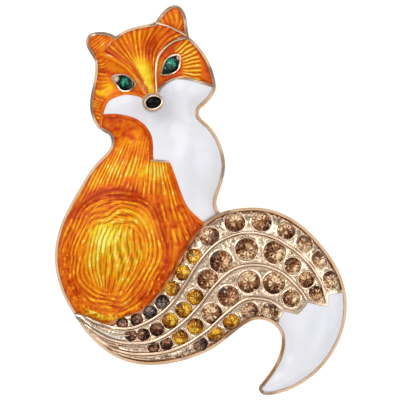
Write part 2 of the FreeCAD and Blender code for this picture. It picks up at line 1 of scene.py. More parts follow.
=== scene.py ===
"""Dresses the fox brooch: enamel over a chased coat, cut stones, plated trim, and a soft studio round it."""

import logging
import math
from dataclasses import dataclass, field
from enum import Enum

import bpy
import numpy as np
from mathutils import Matrix, Vector


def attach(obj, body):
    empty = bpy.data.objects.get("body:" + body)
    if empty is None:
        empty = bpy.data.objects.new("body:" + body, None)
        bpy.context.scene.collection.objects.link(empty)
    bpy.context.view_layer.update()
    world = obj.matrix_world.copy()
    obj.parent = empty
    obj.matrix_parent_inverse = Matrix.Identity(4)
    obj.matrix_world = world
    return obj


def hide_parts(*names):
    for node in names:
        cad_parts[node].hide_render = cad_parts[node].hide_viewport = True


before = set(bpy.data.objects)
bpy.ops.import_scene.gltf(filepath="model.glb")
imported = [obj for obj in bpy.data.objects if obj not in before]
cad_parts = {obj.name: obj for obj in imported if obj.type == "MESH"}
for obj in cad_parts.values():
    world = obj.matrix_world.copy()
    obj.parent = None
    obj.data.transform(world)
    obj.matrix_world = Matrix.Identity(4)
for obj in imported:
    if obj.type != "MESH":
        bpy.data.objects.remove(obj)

LOG = logging.getLogger("brooch")
MM = 0.001
# The photograph's frame is 400 pixels across, and a pixel on the brooch is 0.14 mm.
PIXEL = 0.14
FRAME_MM = 400 * PIXEL
# The pixel that lies over the brooch's middle, across and down.
MIDDLE_PIXEL = (201, 200)
ROOT = "root"
# Lengths and areas too small to divide by.
SMALL = 1e-9
TINY = 1e-12
# Samples of a curve between two of its control points.
SPAN_SAMPLES = 24
# Spacing in pixels of the places that hold a stroke field to its guides, and how loosely they hold it.
GUIDE_STEP = 9.0
GUIDE_SLACK = 0.5
# Spacing of an outline's points, and of a rib's points where only the distance to it counts.
OUTLINE_STEP = 0.3
RIB_STEP = 0.4
# A bead: the spacing of its rings, its sides, the share of its length that narrows at each end, and how deep
# its middle is sunk.
BEAD_STEP = 0.16
BEAD_SIDES = 12
BEAD_TAPER = 0.03
BEAD_SINK = 0.06


def linear(code: str) -> tuple[float, float, float, float]:
    """Turns an sRGB hex colour into linear light.

    Args:
        code: six hex digits after a hash sign.

    Returns:
        Red, green, blue and full alpha.
    """
    parts = [int(code[at:at + 2], 16) / 255 for at in (1, 3, 5)]
    light = [part / 12.92 if part <= 0.04045 else ((part + 0.055) / 1.055) ** 2.4 for part in parts]
    return light[0], light[1], light[2], 1.0


def shade(code: str) -> np.ndarray:
    """Gives an sRGB hex colour as a linear array of three."""
    return np.array(linear(code)[:3])


def place(points: list[tuple[float, float]]) -> np.ndarray:
    """Turns pixels of the photograph's frame into millimetres on the brooch.

    Args:
        points: across and down in pixels.

    Returns:
        An array of x and y in millimetres, y up.
    """
    across, down = np.array(points, dtype=float).T
    return np.stack([(across - MIDDLE_PIXEL[0]) * PIXEL, (MIDDLE_PIXEL[1] - down) * PIXEL], axis=1)


def to_pixels(x: np.ndarray, y: np.ndarray) -> tuple[np.ndarray, np.ndarray]:
    """Turns millimetres on the brooch into pixels across and down."""
    return x / PIXEL + MIDDLE_PIXEL[0], MIDDLE_PIXEL[1] - y / PIXEL


def blend(first: np.ndarray, second: np.ndarray, share: np.ndarray) -> np.ndarray:
    """Mixes two colours, or two tables of colours, by a share for each row."""
    return first * (1 - share[:, None]) + second * share[:, None]


def grain(across: np.ndarray, along: np.ndarray, seed: int) -> np.ndarray:
    """Smooth noise from 0 to 1: random values at whole numbers, eased between them.

    Args:
        across: first coordinate, one noise cell for each unit.
        along: second coordinate, one noise cell for each unit.
        seed: chooses the pattern.

    Returns:
        The noise at each place.
    """
    def lattice(i: np.ndarray, j: np.ndarray) -> np.ndarray:
        """Hashes whole numbers into values from 0 to 1."""
        wave = np.sin(i * 127.1 + j * 311.7 + seed * 74.7) * 43758.5453
        return wave - np.floor(wave)

    i, j = np.floor(across), np.floor(along)
    u, v = across - i, along - j
    u, v = u * u * (3 - 2 * u), v * v * (3 - 2 * v)
    near = lattice(i, j) * (1 - u) + lattice(i + 1, j) * u
    far = lattice(i, j + 1) * (1 - u) + lattice(i + 1, j + 1) * u
    return near * (1 - v) + far * v


def ease(low: float, high: float, value: np.ndarray) -> np.ndarray:
    """Rises smoothly from 0 at low to 1 at high."""
    share = np.clip((value - low) / (high - low), 0, 1)
    return share * share * (3 - 2 * share)


def bell(x: np.ndarray, y: np.ndarray, spot: tuple[float, float, float, float, float]) -> np.ndarray:
    """A soft patch: exp of minus the squared distance, on two turned radii.

    Args:
        x: places in pixels across.
        y: places in pixels down.
        spot: middle across, middle down, two radii and a turn in degrees.

    Returns:
        The patch's strength from 0 to 1.
    """
    at_x, at_y, radius_a, radius_b, turn = spot
    angle = math.radians(turn)
    along = (x - at_x) * math.cos(angle) + (y - at_y) * math.sin(angle)
    across = (y - at_y) * math.cos(angle) - (x - at_x) * math.sin(angle)
    return np.exp(-(along / radius_a) ** 2 - (across / radius_b) ** 2)


def bells(x: np.ndarray, y: np.ndarray, spots: list | tuple) -> np.ndarray:
    """The sum of soft patches, each with its strength after the patch's own five numbers."""
    return sum(spot[5] * bell(x, y, spot[:5]) for spot in spots)


def smooth_path(points: np.ndarray, step: float, closed: bool = False) -> np.ndarray:
    """A Catmull-Rom curve through points, resampled at an even step.

    Args:
        points: control points, one row each.
        step: spacing of the samples, in the same unit.
        closed: joins the last point to the first.

    Returns:
        The samples, one row each. A closed curve doesn't repeat its first one.
    """
    if closed:
        stops = np.concatenate([points[-1:], points, points[:2]])
    else:
        stops = np.concatenate([2 * points[:1] - points[1:2], points, 2 * points[-1:] - points[-2:-1]])
    share = np.linspace(0, 1, SPAN_SAMPLES, endpoint=False)[None, :, None]
    p0, p1, p2, p3 = (stops[k:len(stops) - 3 + k, None, :] for k in range(4))
    curve = 0.5 * (2 * p1 + (p2 - p0) * share + (2 * p0 - 5 * p1 + 4 * p2 - p3) * share ** 2
                   + (3 * p1 - p0 - 3 * p2 + p3) * share ** 3)
    line = np.concatenate([curve.reshape(-1, points.shape[1]), stops[-2:-1]])
    length = np.concatenate([[0], np.cumsum(np.linalg.norm(np.diff(line, axis=0), axis=1))])
    count = max(3, int(round(length[-1] / step)))
    stations = np.linspace(0, length[-1], count + 1)
    if closed:
        stations = stations[:-1]
    return np.stack([np.interp(stations, length, line[:, k]) for k in range(points.shape[1])], axis=1)


class Warp:
    """A thin-plate surface through values at scattered places, for the direction of strokes."""

    def __init__(self, places: np.ndarray, values: np.ndarray) -> None:
        """Solves for the plate's weights.

        Args:
            places: x and y of each value.
            values: the number to pass through at each place.
        """
        self.places = places
        count = len(places)
        matrix = np.zeros((count + 3, count + 3))
        matrix[:count, :count] = self.kernel(places) + GUIDE_SLACK * np.eye(count)
        matrix[:count, count:] = np.column_stack([np.ones(count), places])
        matrix[count:, :count] = matrix[:count, count:].T
        self.weights = np.linalg.solve(matrix, np.concatenate([values, np.zeros(3)]))

    def kernel(self, spots: np.ndarray) -> np.ndarray:
        """The plate's kernel between spots and its own places: d squared times log d."""
        gap = ((spots[:, None, :] - self.places[None, :, :]) ** 2).sum(axis=2)
        return 0.5 * gap * np.log(gap + SMALL)

    def __call__(self, x: np.ndarray, y: np.ndarray) -> np.ndarray:
        """The plate's value at places given as two arrays."""
        spots = np.column_stack([x, y])
        return self.kernel(spots) @ self.weights[:-3] + self.weights[-3] + spots @ self.weights[-2:]


def through_guides(guides: list[tuple[float, list[tuple[float, float]]]]) -> Warp:
    """A field whose level lines follow guide strokes.

    Args:
        guides: for each guide stroke its level and its points in pixels.

    Returns:
        The field as a function of pixels.
    """
    lines = [(level, smooth_path(np.array(points, dtype=float), GUIDE_STEP)) for level, points in guides]
    spots = np.concatenate([line for _, line in lines])
    levels = np.concatenate([np.full(len(line), level) for level, line in lines])
    return Warp(spots, levels)


def strokes(across: np.ndarray, along: np.ndarray, seed: int, run: float = 1.0) -> np.ndarray:
    """Chased strokes from 0 in a groove to 1 on a ridge: a rounded wave across, broken up along.

    Args:
        across: one stroke for each unit.
        along: one stroke's usual length for each unit.
        seed: chooses the pattern.
        run: how far the strokes wander sideways.

    Returns:
        The strokes' height from 0 to 1.
    """
    drift = run * 0.9 * (grain(across * 0.35, along * 0.7, seed) - 0.5)
    phase = across + drift
    wave = 0.5 + 0.5 * np.cos(2 * np.pi * phase)
    lane = np.floor(phase + 0.5)
    strength = grain(lane * 1.0, along * 1.3 + 7 * grain(lane, lane * 0 + 3.0, seed + 1), seed + 2)
    return np.clip(wave * (0.35 + 0.9 * strength), 0, 1)


def add_node(tree: bpy.types.NodeTree, kind: str, settings: dict | None = None,
             values: dict | None = None, links: dict | None = None) -> bpy.types.Node:
    """Adds a shader node with its settings, socket values and incoming links.

    Args:
        tree: the material's node tree.
        kind: the node's type name.
        settings: attributes of the node.
        values: socket values by name or number.
        links: output sockets to link, by the input's name or number.

    Returns:
        The new node.
    """
    node = tree.nodes.new(kind)
    for name, value in (settings or {}).items():
        setattr(node, name, value)
    for name, value in (values or {}).items():
        node.inputs[name].default_value = value
    for name, socket in (links or {}).items():
        tree.links.new(socket, node.inputs[name])
    return node


@dataclass(frozen=True)
class Finish:
    """One surface finish, built as a procedural material.

    Its colour varies from dark to colour in wide soft patches, with painted shade on steep faces, which take
    the side colour. A finish with no colour takes the piece's own "tint" attribute.
    """

    name: str
    rough: float
    grain_mm: float
    bump_mm: float
    colour: str = ""
    dark: str = ""
    side: str = ""
    metallic: float = 0.0
    coat: float = 0.0
    gloss: float = 0.5
    glow: float = 0.0
    edge_mm: float = 0.0

    def material(self) -> bpy.types.Material:
        """Builds the material once: a coat over a body whose tone and height vary with fine grain."""
        known = bpy.data.materials.get(self.name)
        if known:
            return known
        made = bpy.data.materials.new(self.name)
        made.use_nodes = True
        tree = made.node_tree
        tree.nodes.clear()
        out = add_node(tree, "ShaderNodeOutputMaterial")
        where = add_node(tree, "ShaderNodeTexCoord").outputs["Object"]
        fine = add_node(tree, "ShaderNodeTexNoise", links={"Vector": where},
                        values={"Scale": 1 / (self.grain_mm * MM), "Detail": 3.0}).outputs["Fac"]
        wide = add_node(tree, "ShaderNodeTexNoise", links={"Vector": where},
                        values={"Scale": 1 / (self.grain_mm * 9 * MM), "Detail": 2.0}).outputs["Fac"]
        spread = add_node(tree, "ShaderNodeMapRange", links={"Value": wide},
                          values={"To Min": self.rough * 0.8, "To Max": self.rough * 1.25})
        heights = {"Height": fine}
        if self.edge_mm:
            edge = add_node(tree, "ShaderNodeBevel", {"samples": 4}, {"Radius": self.edge_mm * MM})
            heights["Normal"] = edge.outputs["Normal"]
        bump = add_node(tree, "ShaderNodeBump", links=heights,
                        values={"Strength": 1.0, "Distance": self.bump_mm * MM})
        body = add_node(
            tree, "ShaderNodeBsdfPrincipled",
            values={"Metallic": self.metallic, "Coat Weight": self.coat, "Coat Roughness": 0.04,
                    "Specular IOR Level": self.gloss, "Emission Strength": self.glow,
                    "Emission Color": linear("#FFFFFF")},
            links={"Base Color": self.body_colour(tree, fine, wide), "Roughness": spread.outputs["Result"],
                   "Normal": bump.outputs["Normal"]})
        tree.links.new(body.outputs["BSDF"], out.inputs["Surface"])
        return made

    def body_colour(self, tree: bpy.types.NodeTree, fine: bpy.types.NodeSocket,
                    wide: bpy.types.NodeSocket) -> bpy.types.NodeSocket:
        """Builds the colour below the coat.

        Args:
            tree: the material's node tree.
            fine: the fine noise.
            wide: the wide noise.

        Returns:
            The output socket with the colour.
        """
        if not self.colour:
            tint = add_node(tree, "ShaderNodeAttribute", {"attribute_name": "tint"})
            value = add_node(tree, "ShaderNodeMapRange", values={"To Min": 0.96, "To Max": 1.04},
                             links={"Value": fine})
            return add_node(tree, "ShaderNodeHueSaturation", links={
                "Color": tint.outputs["Color"], "Value": value.outputs["Result"]}).outputs["Color"]
        patches = add_node(tree, "ShaderNodeMapRange", values={"From Min": 0.25, "From Max": 0.5},
                           links={"Value": wide})
        tone = add_node(tree, "ShaderNodeMix", {"data_type": "RGBA"},
                        {"A": linear(self.dark), "B": linear(self.colour)},
                        {"Factor": patches.outputs["Result"]}).outputs["Result"]
        if not self.side:
            return tone
        # Painted shade: faces whose normal points little upwards take the side colour.
        facing = add_node(tree, "ShaderNodeNewGeometry")
        parts = add_node(tree, "ShaderNodeSeparateXYZ", links={"Vector": facing.outputs["Normal"]})
        upright = add_node(tree, "ShaderNodeMath", {"operation": "ABSOLUTE"}, links={0: parts.outputs["Z"]})
        level = add_node(tree, "ShaderNodeMapRange", values={"From Min": 0.5, "From Max": 0.92},
                         links={"Value": upright.outputs["Value"]})
        return add_node(tree, "ShaderNodeMix", {"data_type": "RGBA"}, {"A": linear(self.side)},
                        {"Factor": level.outputs["Result"], "B": tone}).outputs["Result"]


# Light gold plate over a cast zinc alloy: a bright, slightly pink mirror softened by the casting's grain.
# Its steep faces carry painted shade, a browner colour, because they would otherwise mirror the white table
# alone.
PLATE = Finish("light_gold_plate", 0.24, 0.5, 0.012, "#FADDC2", "#EAC8A8", "#B4906A", metallic=1.0,
               edge_mm=0.07)
# The same plate in the stone field, where graver marks break up the reflections. Its tint carries painted
# shade round the stones, beside the ribs and in the graver hollows.
FIELD_PLATE = Finish("graved_gold_plate", 0.24, 0.22, 0.02, metallic=1.0)
# Gold plate on the thin lines between the cells, rubbed down and edged with enamel, with painted shade on its
# steep faces.
LINE_PLATE = Finish("rubbed_gold_line", 0.3, 0.3, 0.01, "#E2BE98", "#B88E64", "#8A5A30", metallic=1.0)
# Nickel-free gold plate on the steel pin finding, smoother than the casting.
PIN_PLATE = Finish("pin_gold_plate", 0.18, 0.8, 0.006, "#F2D8BC", "#E0C0A0", metallic=1.0, edge_mm=0.05)
# Clear hard enamel over a chased ground: the strokes show through a wet-looking gloss.
COAT_ENAMEL = Finish("clear_fired_enamel", 0.32, 0.3, 0.012, metallic=0.1, coat=0.1, gloss=0.05)
# Opaque white hard enamel: milk white, level and glossy like a glaze.
WHITE_ENAMEL = Finish("white_fired_enamel", 0.25, 1.2, 0.003, coat=0.3, gloss=0.2)
# Opaque black hard enamel in a drop: a small deep gloss.
BLACK_ENAMEL = Finish("black_fired_enamel", 0.16, 0.8, 0.003, "#0A0A0C", "#060608", coat=0.06, gloss=0.06)
# Machine-cut foiled glass: each facet's tint is one patch of painted reflection, light or dark, standing for
# what the foil throws back.
FOILED_GLASS = Finish("foiled_cut_glass", 0.12, 0.6, 0.0, coat=0.25, gloss=0.1)
# Opal film over a light table: white paper that glows a little, so that the brooch casts no hard shadow.
TABLE_FILM = Finish("light_table_film", 0.9, 3.0, 0.0, "#B4B4B4", "#B2B2B2", glow=0.8)


def put(name: str, corners: np.ndarray, faces: np.ndarray | list, finish: Finish,
        smooth: bool = True, tint: np.ndarray | None = None, by_face: bool = False) -> bpy.types.Object:
    """Puts arrays into a mesh object that rides on the brooch.

    Args:
        name: the piece's name.
        corners: vertices in millimetres, one row each.
        faces: rows of vertex numbers, all of one length, or a list of rows.
        finish: the surface finish.
        smooth: shades it smoothly.
        tint: linear colours, one row for each vertex or face.
        by_face: the tint has a row for each face.

    Returns:
        The new object.
    """
    mesh = bpy.data.meshes.new(name)
    rows = faces.tolist() if isinstance(faces, np.ndarray) else faces
    mesh.from_pydata((corners * MM).tolist(), [], rows)
    mesh.polygons.foreach_set("use_smooth", np.full(len(mesh.polygons), smooth))
    if tint is not None:
        layer = mesh.color_attributes.new("tint", "FLOAT_COLOR", "CORNER" if by_face else "POINT")
        full = np.concatenate([tint, np.ones((len(tint), 1))], axis=1)
        if by_face:
            sides = np.empty(len(mesh.polygons), dtype=np.int32)
            mesh.polygons.foreach_get("loop_total", sides)
            full = np.repeat(full, sides, axis=0)
        layer.data.foreach_set("color", full.astype(np.float32).ravel())
    mesh.validate()
    mesh.update()
    piece = bpy.data.objects.new(name, mesh)
    bpy.context.scene.collection.objects.link(piece)
    mesh.materials.append(finish.material())
    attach(piece, ROOT)
    return piece


def node_arrays(node: str) -> tuple[np.ndarray, np.ndarray]:
    """Reads a CAD node as merged vertices in millimetres and triangles.

    Args:
        node: the node's name.

    Returns:
        Vertices and triangles.
    """
    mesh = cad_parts[node].data
    mesh.calc_loop_triangles()
    corners = np.empty(len(mesh.vertices) * 3)
    mesh.vertices.foreach_get("co", corners)
    corners = corners.reshape(-1, 3) / MM
    triangles = np.empty(len(mesh.loop_triangles) * 3, dtype=np.int64)
    mesh.loop_triangles.foreach_get("vertices", triangles)
    _, first, back = np.unique(np.round(corners, 4), axis=0, return_index=True, return_inverse=True)
    triangles = back.reshape(-1)[triangles].reshape(-1, 3)
    whole = (triangles[:, 0] != triangles[:, 1]) & (triangles[:, 1] != triangles[:, 2])
    whole &= triangles[:, 0] != triangles[:, 2]
    return corners[first], triangles[whole]


def face_normals(corners: np.ndarray, triangles: np.ndarray) -> tuple[np.ndarray, np.ndarray]:
    """Unit normals of triangles, and twice their areas."""
    a, b, c = (corners[triangles[:, k]] for k in range(3))
    normal = np.cross(b - a, c - a)
    area = np.linalg.norm(normal, axis=1)
    return normal / (area[:, None] + TINY), area


def rim_edges(triangles: np.ndarray) -> np.ndarray:
    """The edges that only one triangle of a patch has."""
    edges = np.concatenate([triangles[:, [first, second]] for first, second in ((0, 1), (1, 2), (2, 0))])
    kept, count = np.unique(np.sort(edges, axis=1), axis=0, return_counts=True)
    return kept[count == 1]


def grid_over(low: np.ndarray, high: np.ndarray, step: float) -> tuple[np.ndarray, np.ndarray, np.ndarray]:
    """A square grid over a box of the plan.

    Args:
        low: the box's least x and y.
        high: its greatest x and y.
        step: grid spacing.

    Returns:
        x and y of the points, and how many there are each way.
    """
    count = np.ceil((high - low) / step).astype(int) + 1
    sides = (low[k] + step * np.arange(count[k]) for k in range(2))
    x, y = (side.ravel() for side in np.meshgrid(*sides, indexing="ij"))
    return x, y, count


def kept_cells(keep: np.ndarray) -> tuple[np.ndarray, np.ndarray]:
    """The cells of a grid whose four corners are all kept.

    Args:
        keep: a table that says of each point whether it is kept.

    Returns:
        The numbers of the points in use, and the faces between those.
    """
    number = np.arange(keep.size).reshape(keep.shape)
    cells = [np.stack([table[:-1, :-1], table[1:, :-1], table[1:, 1:], table[:-1, 1:]], axis=-1)
             for table in (number, keep)]
    used, faces = np.unique(cells[0][cells[1].all(axis=-1)], return_inverse=True)
    return used, faces.reshape(-1, 4)


def inset_from(x: np.ndarray, y: np.ndarray, start: np.ndarray, end: np.ndarray) -> np.ndarray:
    """Distance from places to a border of straight runs, positive inside it.

    A place is inside where a line to its right crosses the border an odd number of times. The places are
    taken in parts, so that the table of places against runs stays small.

    Args:
        x: places across.
        y: places up.
        start: where each run starts, one row each.
        end: where each run ends.

    Returns:
        The distance of each place.
    """
    run = end - start
    length = (run ** 2).sum(axis=1) + TINY
    slope = np.where(np.abs(run[:, 1]) < SMALL, SMALL, run[:, 1])
    found = []
    for part in np.array_split(np.arange(len(x)), max(1, len(x) // 3000)):
        gap_x, gap_y = x[part, None] - start[:, 0], y[part, None] - start[:, 1]
        share = np.clip((gap_x * run[:, 0] + gap_y * run[:, 1]) / length, 0, 1)
        far = np.hypot(gap_x - share * run[:, 0], gap_y - share * run[:, 1]).min(axis=1)
        spans = (start[:, 1] > y[part, None]) != (end[:, 1] > y[part, None])
        crossed = spans & (x[part, None] < start[:, 0] + gap_y / slope * run[:, 0])
        found.append(np.where(crossed.sum(axis=1) % 2 == 1, far, -far))
    return np.concatenate(found)


def inset_in(x: np.ndarray, y: np.ndarray, loop: np.ndarray) -> np.ndarray:
    """Distance from places to a closed loop of points, positive inside it."""
    return inset_from(x, y, loop, np.roll(loop, -1, axis=0))


class TopFit:
    """A smooth height over the plan, fitted to a patch by least squares with cubic B-splines."""

    stiffness = 0.0025

    def __init__(self, points: np.ndarray, spacing: float) -> None:
        """Fits the control heights.

        Args:
            points: x, y and z on the patch.
            spacing: distance between controls.
        """
        self.spacing = spacing
        self.low = points[:, :2].min(axis=0) - 2.5 * spacing
        self.size = np.ceil((points[:, :2].max(axis=0) - self.low) / spacing).astype(int) + 5
        total = int(self.size[0] * self.size[1])
        place_of, share = self.shares(points[:, 0], points[:, 1])
        pairs = (place_of[:, :, None] * total + place_of[:, None, :]).ravel()
        weight = (share[:, :, None] * share[:, None, :]).ravel()
        normal = np.bincount(pairs, weight, total * total).reshape(total, total)
        target = np.bincount(place_of.ravel(), (share * points[:, 2:]).ravel(), total)
        grid = np.arange(total).reshape(self.size)
        for line in (grid, grid.T):
            triples = np.stack([line[:-2].ravel(), line[1:-1].ravel(), line[2:].ravel()], axis=1)
            bend = np.array([1.0, -2.0, 1.0])
            pairs = (triples[:, :, None] * total + triples[:, None, :]).ravel()
            weight = np.tile((bend[:, None] * bend[None, :]).ravel(), len(triples))
            normal += self.stiffness * np.bincount(pairs, weight, total * total).reshape(total, total)
        self.controls = np.linalg.solve(normal + SMALL * np.eye(total), target)

    def shares(self, x: np.ndarray, y: np.ndarray) -> tuple[np.ndarray, np.ndarray]:
        """The sixteen controls that reach each place, and the share of each."""
        u, v = (x - self.low[0]) / self.spacing, (y - self.low[1]) / self.spacing
        i = np.clip(np.floor(u).astype(int), 0, self.size[0] - 4)
        j = np.clip(np.floor(v).astype(int), 0, self.size[1] - 4)
        along, over = np.stack(self.cubic(u - i), axis=1), np.stack(self.cubic(v - j), axis=1)
        step = np.arange(4)
        place_of = (i[:, None] + step)[:, :, None] * self.size[1] + (j[:, None] + step)[:, None, :]
        share = along[:, :, None] * over[:, None, :]
        return place_of.reshape(len(x), 16), share.reshape(len(x), 16)

    @staticmethod
    def cubic(t: np.ndarray) -> list[np.ndarray]:
        """The four cubic B-spline shares at a fraction of a span."""
        return [(1 - t) ** 3 / 6, (3 * t ** 3 - 6 * t ** 2 + 4) / 6,
                (-3 * t ** 3 + 3 * t ** 2 + 3 * t + 1) / 6, t ** 3 / 6]

    def __call__(self, x: np.ndarray, y: np.ndarray) -> np.ndarray:
        """The fitted height at places given as two arrays."""
        place_of, share = self.shares(x, y)
        return (self.controls[place_of] * share).sum(axis=1)


class Patch:
    """The top of a CAD node: its smooth height and its border in the plan."""

    def __init__(self, node: str, spacing: float = 1.0, least: float = 0.35) -> None:
        """Reads the node.

        Args:
            node: the node's name.
            spacing: distance between the height's controls in millimetres.
            least: least upward part of a top triangle's normal.
        """
        corners, triangles = node_arrays(node)
        top = triangles[face_normals(corners, triangles)[0][:, 2] > least]
        middle = corners[top].mean(axis=1)
        used = corners[np.unique(top)]
        halves = [(corners[top[:, a]] + corners[top[:, b]]) / 2 for a, b in ((0, 1), (1, 2), (2, 0))]
        self.height = TopFit(np.concatenate([used, middle, *halves]), spacing)
        self.border = corners[rim_edges(top)][:, :, :2]
        self.low, self.high = used[:, :2].min(axis=0), used[:, :2].max(axis=0)

    def sheet(self, step: float, reach: float) -> tuple[np.ndarray, np.ndarray, np.ndarray, np.ndarray]:
        """A square grid over the patch and a little past its border.

        Args:
            step: grid spacing.
            reach: how far it goes past the border.

        Returns:
            x, y and inset of the kept points, and the faces between them.
        """
        x, y, count = grid_over(self.low - reach, self.high + reach, step)
        inset = inset_from(x, y, self.border[:, 0], self.border[:, 1])
        used, faces = kept_cells((inset > -reach).reshape(count))
        return x[used], y[used], inset[used], faces


def pour(name: str, node: str, points: np.ndarray, faces: np.ndarray, finish: Finish,
         tint: np.ndarray, thick: float) -> None:
    """Puts a pool of enamel in place of its node.

    Args:
        name: the piece's name.
        node: the CAD node that it replaces.
        points: vertices in millimetres.
        faces: rows of vertex numbers.
        finish: the enamel.
        tint: linear colours, one row for each vertex.
        thick: thickness of the pool's wall below its surface.
    """
    piece = put(name, points, faces, finish, tint=tint)
    thicken(piece, thick)
    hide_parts(node)
    LOG.info("%s: %d points", name, len(points))


def thicken(piece: bpy.types.Object, thick: float) -> None:
    """Gives a sheet a wall below its surface, so that it is closed."""
    wall = piece.modifiers.new("wall", "SOLIDIFY")
    wall.thickness = thick * MM
    wall.offset = -1.0


def fall(inset: np.ndarray) -> np.ndarray:
    """How far a pool's sheet has fallen where it runs past its border, down into the metal."""
    return 1.6 * np.maximum(-inset - 0.02, 0)


# The coat's enamel from its deepest orange to its palest yellow.
ORANGES = ["#BC3E06", "#DA5C10", "#E67612", "#EC8A0C", "#EAA812", "#E8C41C", "#F6E048"]


def orange(tone: np.ndarray, ridge: np.ndarray | None = None) -> np.ndarray:
    """Colours of the coat's clear enamel: a pool's own tone, with painted shade that browns its grooves and a
    painted yellow highlight on its ridges.

    Args:
        tone: 0 for the deepest orange, 1 for the palest yellow.
        ridge: the strokes' height from 0 to 1, where the pool has strokes.

    Returns:
        Linear colours, one row each.
    """
    stops = np.array([shade(code) for code in ORANGES])
    at = np.linspace(0, 1, len(stops))
    colour = np.stack([np.interp(np.clip(tone, 0, 1), at, stops[:, k]) for k in range(3)], axis=1)
    if ridge is None:
        return colour
    # Painted shade browns the grooves; a painted highlight turns the ridges yellow, paler where the tone is
    # pale.
    groove = 0.88 * ease(0.42, 0.06, ridge)
    painted_highlight = 0.8 * ease(0.55, 0.95, ridge) * (0.45 + 0.55 * ease(0.05, 0.45, tone))
    colour = blend(colour, colour * np.array([0.46, 0.26, 0.13]), groove)
    return blend(colour, blend(shade("#FFC81E"), shade("#FFF49C"), ease(0.45, 0.95, tone)), painted_highlight)


